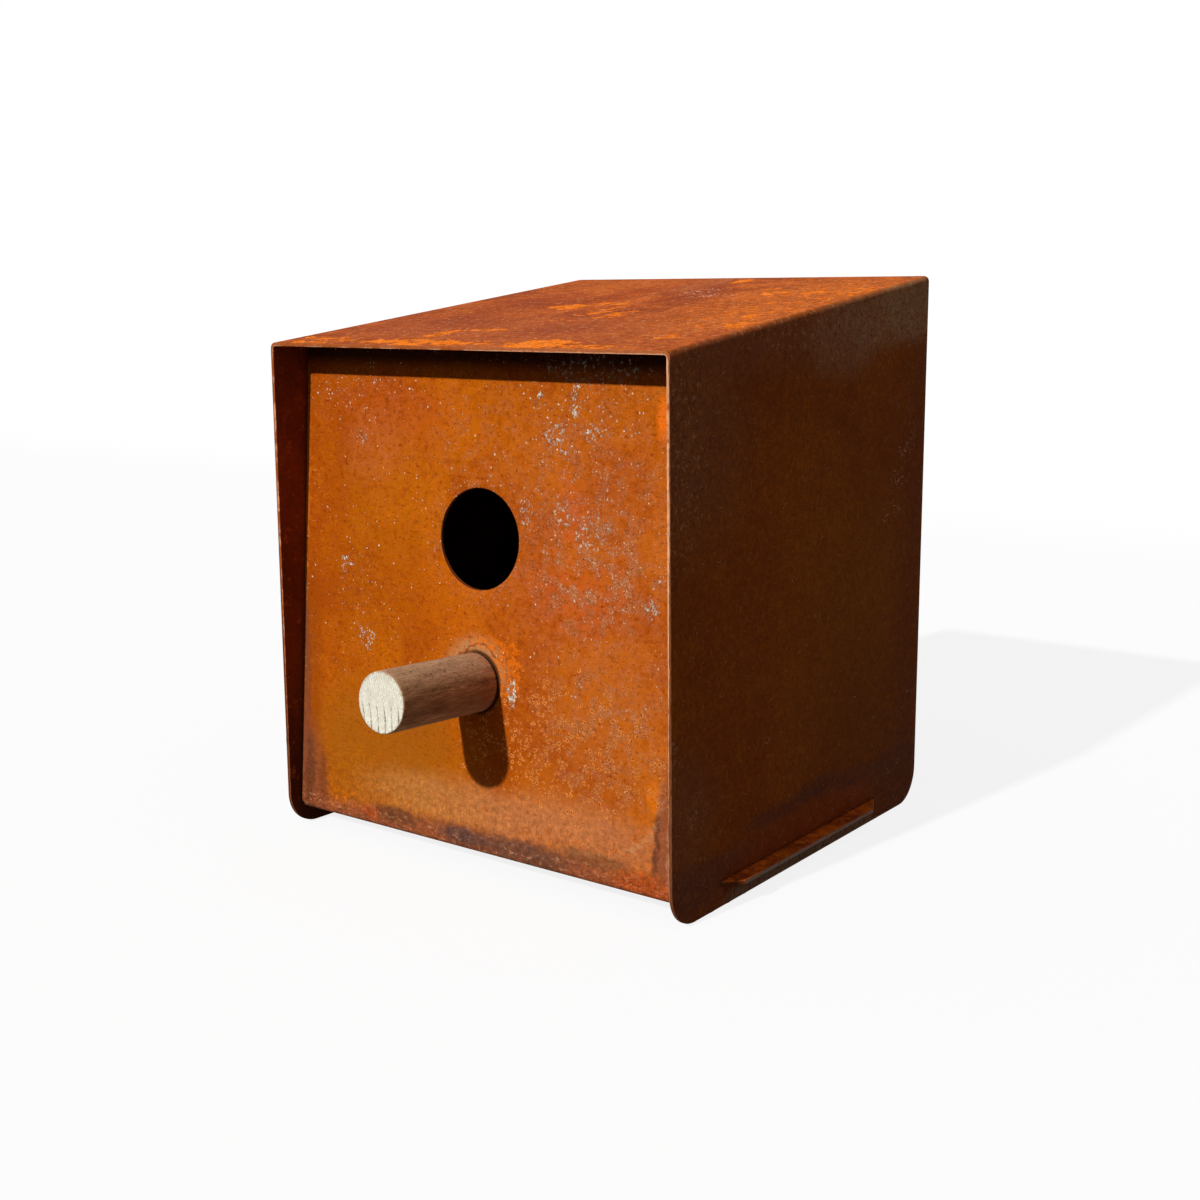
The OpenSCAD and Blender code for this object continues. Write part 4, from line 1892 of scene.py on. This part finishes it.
Relief = Callable[[Rows, Rows, Rows], tuple[Rows, Rows]]


@dataclass
class Turning:
    """A turned piece: rows of radius and place along the axis, from one end to the other."""

    rows: list[Pair]
    sides: int
    six_sided: tuple[int, ...] = ()

    def shell(self, relief: Relief | None = None) -> tuple[Rows, list[tuple[int, ...]]]:
        """Turns the rows into a closed shell.

        Args:
            relief: Gives new radii and places along the axis from angles, radii and places.

        Returns:
            Points in millimetres and faces, row by row.
        """
        angle = np.linspace(0, 2 * math.pi, self.sides, endpoint=False)
        points = [np.array([[0.0, 0.0, self.rows[0][1]]])]
        for number, (radius, along) in enumerate(self.rows[1:-1]):
            radii, places = np.full(self.sides, radius), np.full(self.sides, along)
            if number + 1 in self.six_sided:
                part = np.mod(angle, math.pi / 3) - math.pi / 6
                radii = radii * math.cos(math.pi / 6) / np.cos(part)
            if relief is not None:
                radii, places = relief(angle, radii, places)
            points.append(np.stack([radii * np.cos(angle), radii * np.sin(angle), places], 1))
        points.append(np.array([[0.0, 0.0, self.rows[-1][1]]]))
        every = np.concatenate(points)
        last = len(every) - 1
        end = last - self.sides
        turn = [(i, (i + 1) % self.sides) for i in range(self.sides)]
        faces: list[tuple[int, ...]] = [(0, 1 + b, 1 + a) for a, b in turn]
        for start in range(1, end, self.sides):
            following = start + self.sides
            faces += [(start + a, start + b, following + b, following + a) for a, b in turn]
        faces += [(end + a, end + b, last) for a, b in turn]
        return every, faces


@dataclass
class Perch:
    """The round dowel: grain along its side, eased ends, a sawn end and the screw's pilot hole."""

    house: House
    diameter: float = 23.5
    length: float = 52.0
    ease: float = 0.8
    pilot_radius: float = 2.55
    pilot_straight: float = 24.8
    pilot_end: float = 32.3
    pilot_tip: float = 0.3
    foot_ring: float = 6.0
    ease_rings: int = 6
    side_rings: int = 34
    end_rings: int = 22
    sides: int = 240
    fibres: float = 7.0
    fibre_pull: float = 0.06
    fibre_size: float = 2.2
    fibre_depth: float = 0.07
    end_depth: float = 0.06
    saw_depth: float = 0.05
    crack_depth: float = 0.3
    sawn_rim: float = 0.45
    sawn_band: float = 0.5
    foot_band: float = 0.05
    crease: float = 40.0

    def rows(self) -> list[Pair]:
        """Lists the dowel's half section.

        Returns:
            Pairs of radius and place, from the pilot hole's end round to the sawn end's middle.
        """
        radius, inner = self.diameter / 2, self.diameter / 2 - self.ease
        rows = [(0.0, self.pilot_end), (self.pilot_tip, self.pilot_end),
                (self.pilot_radius, self.pilot_straight), (self.pilot_radius, 0.0),
                (self.foot_ring, 0.0)]
        turns = np.linspace(0, QUARTER, self.ease_rings)
        rows += [(inner + self.ease * math.sin(t), self.ease * (1 - math.cos(t))) for t in turns]
        side = np.linspace(self.ease, self.length - self.ease, self.side_rings)
        rows += [(radius, place) for place in side[1:-1]]
        rows += [(inner + self.ease * math.cos(t), self.length - self.ease * (1 - math.sin(t)))
                 for t in turns]
        rows += [(r, self.length) for r in np.linspace(inner, 0, self.end_rings)[1:-1]]
        return rows + [(0.0, self.length)]

    def relief(self, angle: Rows, radii: Rows, places: Rows) -> tuple[Rows, Rows]:
        """Roughens a row: fibres along the side, saw marks and a small crack in the end.

        Args:
            angle: Angles round the axis.
            radii: Radii in millimetres.
            places: Places along the axis in millimetres.

        Returns:
            The new radii and places.
        """
        radius, place = float(radii[0]), float(places[0])
        at_end = place >= self.length - SLACK
        if radius < self.diameter / 2 - self.ease - SLACK and not at_end:
            return radii, places
        points = [(math.cos(a) * self.fibres, math.sin(a) * self.fibres, place * self.fibre_pull)
                  for a in angle]
        fibre = np.array([noise.noise(Vector(p) * self.fibre_size) for p in points]) + 0.5
        if not at_end:
            return radii - self.fibre_depth * fibre, places
        across, up = radius * np.cos(angle), radius * np.sin(angle)
        saw = self.saw_depth * np.sin(across * 4.6 + 1.2 * np.sin(up * 0.45))
        crack = np.exp(-((across - 1.6 + 0.12 * up) / 0.35) ** 2) * np.clip((-up - 1.5) / 4, 0, 1)
        sunk = places - self.end_depth * fibre - self.saw_depth
        return radii, sunk + saw - self.crack_depth * crack

    def build(self) -> None:
        """Makes the perch's piece and lets it stand for the CAD node."""
        seat = Seat(self.house)
        points, faces = Turning(self.rows(), self.sides).shell(self.relief)
        along = [points[list(face), 2].mean() for face in faces]
        from_axis = [np.linalg.norm(points[list(face), :2].mean(0)) for face in faces]
        sawn = self.diameter / 2 - self.sawn_rim
        which = [int((a > self.length - self.sawn_band or a < self.foot_band) and r < sawn)
                 for a, r in zip(along, from_axis)]
        materials = [WoodSide(seat).material("perch_side_wood"),
                     WoodEnd(seat).material("perch_end_wood")]
        points = seat.stand(points)
        piece = new_piece("perch_dowel", points, faces, materials, which, self.crease)
        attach(piece, BODY)
        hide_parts("perch")
        log_piece(piece)


class Pattern(Board):
    """A geometry tree with named sizes, which is applied to a piece and leaves a plain mesh."""

    def __init__(self, name: str, sizes: dict[str, float]) -> None:
        """Makes a tree with a geometry input and one number input for each named size.

        Args:
            name: The tree's name.
            sizes: The sizes' names and first values.
        """
        super().__init__(bpy.data.node_groups.new(name, "GeometryNodeTree"))
        sockets = self.tree.interface
        sockets.new_socket("Geometry", in_out="INPUT", socket_type="NodeSocketGeometry")
        self.keys = {}
        for size, value in sizes.items():
            socket = sockets.new_socket(size, in_out="INPUT", socket_type="NodeSocketFloat")
            socket.default_value = value
            self.keys[size] = socket.identifier
        sockets.new_socket("Geometry", in_out="OUTPUT", socket_type="NodeSocketGeometry")
        self.source = self.add("NodeGroupInput", {}, {})

    def marked(self, geometry: Wire, mark: str) -> Wire:
        """Stores a mark on a geometry's points, so that its faces can be told apart later."""
        settings = {"data_type": "BOOLEAN", "domain": "POINT"}
        inputs = {"Geometry": geometry, "Name": mark, "Value": True}
        return self.add("GeometryNodeStoreNamedAttribute", settings, inputs).out("Geometry")

    def close(self, geometries: Sequence[Wire], mark: str, material: Material) -> None:
        """Joins the parts, makes them real and gives the marked faces their material.

        Args:
            geometries: The parts.
            mark: Name of the mark on the faces that take the material.
            material: The material.
        """
        joined = self.add("GeometryNodeJoinGeometry", {}, {})
        for geometry in reversed(geometries):
            self.tree.links.new(geometry.socket, joined.node.inputs[0])
        real = self.add("GeometryNodeRealizeInstances", {}, {"Geometry": joined.out("Geometry")})
        chosen = self.add("GeometryNodeInputNamedAttribute", {"data_type": "BOOLEAN"}, {"Name": mark})
        inputs = {"Geometry": real.out("Geometry"), "Selection": chosen.out("Attribute"),
                  "Material": material}
        dressed = self.add("GeometryNodeSetMaterial", {}, inputs)
        self.add("NodeGroupOutput", {}, {"Geometry": dressed.out("Geometry")})

    def apply(self, piece: Piece, sizes: dict[str, float]) -> None:
        """Runs the tree on a piece and keeps the outcome as the piece's mesh.

        Args:
            piece: The piece.
            sizes: Values for the named inputs.
        """
        modifier = piece.modifiers.new(self.tree.name, "NODES")
        modifier.node_group = self.tree
        for size, value in sizes.items():
            modifier[self.keys[size]] = value
        reading = bpy.context.evaluated_depsgraph_get()
        mesh = bpy.data.meshes.new_from_object(piece.evaluated_get(reading), depsgraph=reading)
        piece.modifiers.remove(modifier)
        piece.data = mesh


@dataclass(frozen=True)
class Crumbs:
    """Mineral crumbs that stand on the panel, closer where the lime and chalk lie."""

    radius: float = 0.34
    smallest: float = 0.3
    least: float = 0.012
    most: float = 0.16
    bare_below: float = 40.0
    full_above: float = 100.0
    seed: int = 7

    @staticmethod
    def share(points: Rows, swarm: Swarm) -> Rows:
        """Gives a swarm's share of crumbs at places on the panel, in millimetres."""
        far = np.linalg.norm((points - swarm.centre) / swarm.reach, axis=1)
        return swarm.amount * np.clip((1 + swarm.edge / 2 - far) / swarm.edge, 0, 1) ** 2

    def spread(self, piece: Piece) -> None:
        """Stores how many crumbs a square metre there are at each of a piece's points.

        Args:
            piece: The piece, whose first material is the panel's.
        """
        mesh = piece.data
        places = np.zeros(len(mesh.vertices) * 3)
        mesh.vertices.foreach_get("co", places)
        places = places.reshape(-1, 3) / MM
        flat = np.stack([places[:, 0], places[:, 2] + ORIGIN_HEIGHT], 1)
        swarms = [*PanelLime, PanelChalk.BROW, PanelChalk.TOP, PanelCrumbs.RIGHT, PanelCrumbs.RIM]
        share = np.max([self.share(flat, swarm) for swarm in swarms], axis=0)
        seen = np.zeros(len(places), bool)
        for face in mesh.polygons:
            if face.material_index == Side.OUTER:
                seen[list(face.vertices)] = True
        high = (flat[:, 1] - self.bare_below) / (self.full_above - self.bare_below)
        share = (share * self.most + self.least) * np.clip(high, 0, 1)
        amount = np.where(seen, share, 0.0) / MM ** 2
        mesh.attributes.new("crumbs", "FLOAT", "POINT").data.foreach_set("value", amount)

    def tree(self, material: Material) -> Pattern:
        """Builds the tree that strews the crumbs.

        Args:
            material: The crumbs' material.

        Returns:
            The tree.
        """
        tree = Pattern("panel_crumbs", {"Crumb radius": self.radius * MM, "Amount": 1.0})
        amount = tree.add("GeometryNodeInputNamedAttribute", {"data_type": "FLOAT"},
                          {"Name": "crumbs"}).out("Attribute")
        inputs = {"Mesh": tree.source.out("Geometry"), "Seed": self.seed,
                  "Density": amount * tree.source.out("Amount")}
        settings = {"distribute_method": "RANDOM"}
        strewn = tree.add("GeometryNodeDistributePointsOnFaces", settings, inputs)
        inputs = {"Radius": tree.source.out("Crumb radius"), "Subdivisions": 1}
        grain = tree.add("GeometryNodeMeshIcoSphere", {}, inputs).out("Mesh")
        lot = tree.add("FunctionNodeRandomValue", {"data_type": "FLOAT"},
                       {"Min_001": 0.0, "Max_001": 1.0, "Seed": self.seed}).out("Value_001")
        inputs = {"Points": strewn.out("Points"), "Instance": grain, "Rotation": strewn.out("Rotation"),
                  "Scale": lot ** 3.0 * (1 - self.smallest) + self.smallest}
        grains = tree.add("GeometryNodeInstanceOnPoints", {}, inputs).out("Instances")
        real = tree.add("GeometryNodeRealizeInstances", {}, {"Geometry": grains}).out("Geometry")
        tree.close([tree.source.out("Geometry"), tree.marked(real, "crumb")], "crumb", material)
        return tree


@dataclass
class PerchScrew:
    """The wood screw from inside through the washer and the panel into the dowel."""

    house: House
    shank_radius: float = 2.5
    core_radius: float = 1.8
    length: float = 35.0
    point_length: float = 7.5
    head_radius: float = 5.0
    head_height: float = 3.2
    head_rings: int = 8
    socket_radius: float = 2.3
    socket_depth: float = 2.0
    socket_rim: float = 0.5
    neck: float = 0.4
    tip_radius: float = 0.12
    tip_length: float = 0.1
    pitch: float = 2.2
    ridge: float = 0.5
    ridge_sides: int = 4
    ridge_end: float = 0.05
    turn_steps: int = 28
    sides: int = 96

    def rows(self) -> list[Pair]:
        """Lists the screw's half section.

        Returns:
            Pairs of radius and place, from the socket's floor over the head to the point.
        """
        start = -self.house.sheet - self.house.washer
        top, half = start - self.head_height, self.head_height / 2
        turns = np.linspace(QUARTER, 0, self.head_rings)
        rows = [(0.0, top + self.socket_depth), (self.socket_radius, top + self.socket_depth),
                (self.socket_radius, top), (self.socket_radius + self.socket_rim, top)]
        rows += [(self.head_radius - half + half * math.cos(t), start - half - half * math.sin(t))
                 for t in turns]
        shoulder = start + self.house.sheet + self.house.washer
        tip = start + self.length
        rows += [(self.head_radius, start), (self.shank_radius, start)]
        rows += [(self.shank_radius, shoulder), (self.core_radius, shoulder + self.neck)]
        rows += [(self.core_radius, tip - self.point_length), (self.tip_radius, tip - self.tip_length)]
        return rows + [(0.0, tip)]

    def thread(self, material: Material) -> Pattern:
        """Builds the tree that winds the thread round the core.

        Args:
            material: The thread's material.

        Returns:
            The tree.
        """
        start = self.house.sheet + self.house.washer
        straight = self.length - self.point_length - start
        sizes = {"Core radius": self.core_radius * MM, "Pitch": self.pitch * MM,
                 "Straight length": straight * MM, "Point length": self.point_length * MM,
                 "Ridge": self.ridge * MM}
        tree = Pattern("screw_thread", sizes)
        core, pitch, ridge = (tree.source.out(n) for n in ("Core radius", "Pitch", "Ridge"))
        section = tree.add("GeometryNodeCurvePrimitiveCircle", {"mode": "RADIUS"},
                           {"Resolution": self.ridge_sides, "Radius": ridge})
        parts, seat = [], Seat(self.house)
        for run, end, base in (("Straight length", core, 0.0),
                               ("Point length", core * self.ridge_end, straight)):
            length = tree.source.out(run)
            inputs = {"Resolution": self.turn_steps, "Rotations": length / pitch, "Start Radius": core,
                      "End Radius": end, "Height": length}
            helix = tree.add("GeometryNodeCurveSpiral", {}, inputs).out("Curve")
            place = seat.stand(np.array([[0.0, 0.0, base]]))[0]
            inputs = {"Geometry": helix, "Translation": tuple(place), "Rotation": (seat.turn, 0.0, 0.0)}
            helix = tree.add("GeometryNodeTransform", {}, inputs).out("Geometry")
            inputs = {"Curve": helix, "Profile Curve": section.out("Curve"), "Fill Caps": True}
            ridge_mesh = tree.add("GeometryNodeCurveToMesh", {}, inputs).out("Mesh")
            parts.append(tree.marked(ridge_mesh, "thread"))
        tree.close([tree.source.out("Geometry"), *parts], "thread", material)
        return tree

    def build(self) -> None:
        """Makes the screw's piece and lets it stand for the CAD node."""
        finish = ZincFinish().material("screw_zinc")
        points, faces = Turning(self.rows(), self.sides, (1, 2)).shell()
        seat = Seat(self.house)
        piece = new_piece("perch_screw_turned", seat.stand(points), faces, [finish])
        self.thread(finish).apply(piece, {"Pitch": self.pitch * MM})
        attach(piece, BODY)
        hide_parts("perch_screw")
        log_piece(piece)


@dataclass
class PerchWasher:
    """The punched washer under the screw's head."""

    house: House
    diameter: float = 20.0
    hole: float = 5.5
    ease: float = 0.18
    sides: int = 96

    def build(self) -> None:
        """Makes the washer's piece and lets it stand for the CAD node."""
        inner, outer, ease = self.hole / 2, self.diameter / 2, self.ease
        top = -self.house.sheet
        low = top - self.house.washer
        loop = [(inner, low + ease), (inner + ease, low), (outer - ease, low), (outer, low + ease),
                (outer, top - ease), (outer - ease, top), (inner + ease, top), (inner, top - ease)]
        angle = np.linspace(0, 2 * math.pi, self.sides, endpoint=False)
        rings = [np.stack([r * np.cos(angle), r * np.sin(angle), np.full(self.sides, z)], 1)
                 for r, z in loop]
        faces = []
        for row in range(len(loop)):
            first, second = row * self.sides, (row + 1) % len(loop) * self.sides
            faces += [(first + i, first + (i + 1) % self.sides, second + (i + 1) % self.sides,
                       second + i) for i in range(self.sides)]
        seat = Seat(self.house)
        finish = ZincFinish().material("washer_zinc")
        points = seat.stand(np.concatenate(rings))
        piece = new_piece("perch_washer_punched", points, faces, [finish])
        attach(piece, BODY)
        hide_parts("perch_washer")
        log_piece(piece)


@dataclass(frozen=True)
class Paper(Finish):
    """Pale matt ground, which the camera sees near white with the object's shadow."""

    white_share: float = 0.85
    bounce: float = 0.12

    def shader(self, graph: Graph) -> Wire:
        """Builds the look.

        Args:
            graph: The material's tree.

        Returns:
            The shader.
        """
        fibre = graph.point.patches(6, 2, 0.5)
        paper = graph.mix(fibre, srgb(248, 248, 248), srgb(252, 252, 251))
        seen = graph.seen()
        grey = graph.mix(seen, (self.bounce, self.bounce, self.bounce, 1.0), paper)
        diffuse = graph.add("ShaderNodeBsdfDiffuse", {}, {"Color": grey}).out("BSDF")
        white = graph.add("ShaderNodeEmission", {}, {"Color": WHITE}).out("Emission")
        inputs = {"Fac": seen * self.white_share, "Shader": diffuse, "Shader_001": white}
        return graph.add("ShaderNodeMixShader", {}, inputs).out("Shader")


@dataclass(frozen=True)
class Studio:
    """Pale floor and backdrop, a low sun with a soft sky, and the camera at the photograph's angle."""

    house: House
    floor_half: float = 3000.0
    backdrop: float = 1500.0
    rise: float = 3000.0
    curve: float = 700.0
    curve_points: int = 16
    camera_place: Triple = (389.95, 630.65, 215.22)
    camera_yaw: float = -34.341
    camera_pitch: float = 6.386
    camera_roll: float = 0.665
    camera_focal: float = 1.25753
    camera_middle: Pair = (0.55630, 0.41530)
    camera_sensor: float = 36.0
    camera_range: Pair = (0.01, 50.0)
    key_elevation: float = 32.0
    key_left: float = 7.1
    key_strength: float = 3.3
    key_spread: float = 1.6
    sky_level: float = 0.03
    sky_rise: float = 0.5

    def build_ground(self) -> None:
        """Makes the floor and the backdrop as one sheet with a curved rise."""
        turns = np.linspace(0, QUARTER, self.curve_points)
        lane = [(-self.floor_half, 0.0), (0.0, 0.0), (self.backdrop - self.curve, 0.0)]
        lane += [(self.backdrop - self.curve + self.curve * math.sin(t),
                  self.curve * (1 - math.cos(t))) for t in turns[1:]]
        lane.append((self.backdrop, self.rise))
        points = [(across, away, up) for across in (-self.floor_half, self.floor_half)
                  for away, up in lane]
        count = len(lane)
        faces = [(i, i + count, i + count + 1, i + 1) for i in range(count - 1)]
        rows = np.array(points)
        placed = self.house.placed(rows[:, 0], -rows[:, 1], rows[:, 2])
        ground = new_piece("studio_ground", placed, faces, [Paper().material("studio_paper")])

    def build_lights(self) -> None:
        """Makes the sun and the soft sky, which looks white to the camera."""
        key = bpy.data.lights.new("key_light", "SUN")
        key.energy = self.key_strength
        key.angle = math.radians(self.key_spread)
        holder = bpy.data.objects.new("key_light", key)
        high, left = math.radians(self.key_elevation), math.radians(self.key_left)
        towards = Vector((-math.sin(left) * math.cos(high), -math.cos(left) * math.cos(high),
                          math.sin(high)))
        holder.rotation_euler = towards.to_track_quat("Z", "Y").to_euler()
        bpy.context.scene.collection.objects.link(holder)
        world = bpy.data.worlds.new("studio_room")
        bpy.context.scene.world = world
        world.use_nodes = True
        board = Board(world.node_tree)
        board.tree.nodes.clear()
        seen = board.seen()
        way = board.add("ShaderNodeTexCoord", {}, {}).out("Generated")
        up = board.add("ShaderNodeSeparateXYZ", {}, {"Vector": way}).out("Z").most(0.0)
        sky = up * self.sky_rise + self.sky_level
        white = {"Color": WHITE, "Strength": seen * (1.0 - sky) + sky}
        light = board.add("ShaderNodeBackground", {}, white).out("Background")
        board.add("ShaderNodeOutputWorld", {}, {"Surface": light})

    def build_camera(self) -> None:
        """Makes the camera at the photograph's place, with its framing as a small shift."""
        data = bpy.data.cameras.new("camera")
        data.sensor_fit = "HORIZONTAL"
        data.sensor_width = self.camera_sensor
        data.lens = self.camera_focal * self.camera_sensor
        data.shift_x = 0.5 - self.camera_middle[0]
        data.shift_y = self.camera_middle[1] - 0.5
        data.clip_start, data.clip_end = self.camera_range
        camera = bpy.data.objects.new("camera", data)
        yaw, pitch, roll = (math.radians(v) for v in (self.camera_yaw, self.camera_pitch,
                                                      self.camera_roll))
        ahead = Vector((math.sin(yaw) * math.cos(pitch), math.cos(yaw) * math.cos(pitch),
                        -math.sin(pitch)))
        level = Vector((math.cos(yaw), -math.sin(yaw), 0.0))
        upright = level.cross(ahead)
        right = level * math.cos(roll) + upright * math.sin(roll)
        up = upright * math.cos(roll) - level * math.sin(roll)
        turn = Matrix((right, up, -ahead)).transposed().to_4x4()
        across, depth, height = self.camera_place
        place = self.house.placed(np.array(across), np.array(depth), np.array(height))
        camera.matrix_world = Matrix.Translation(Vector(place)) @ turn
        bpy.context.scene.collection.objects.link(camera)
        bpy.context.scene.camera = camera

    def build(self) -> None:
        """Makes the ground, the light and the camera."""
        bpy.context.scene.view_settings.view_transform = "Standard"
        self.build_ground()
        self.build_lights()
        self.build_camera()


def corners(bounds: Sequence[Sequence[float]]) -> list[list[float]]:
    """Turns a box into plain lists of numbers."""
    return [[float(v) for v in corner] for corner in bounds]


def main() -> None:
    """Builds the pieces in order, then the studio."""
    logging.basicConfig(level=logging.INFO, format="%(name)s: %(message)s")
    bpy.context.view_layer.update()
    house = House()
    Hood(house).build()
    Tray(house).build()
    Perch(house).build()
    PerchScrew(house).build()
    PerchWasher(house).build()
    Studio(house).build()


if __name__ == "__main__":
    main()
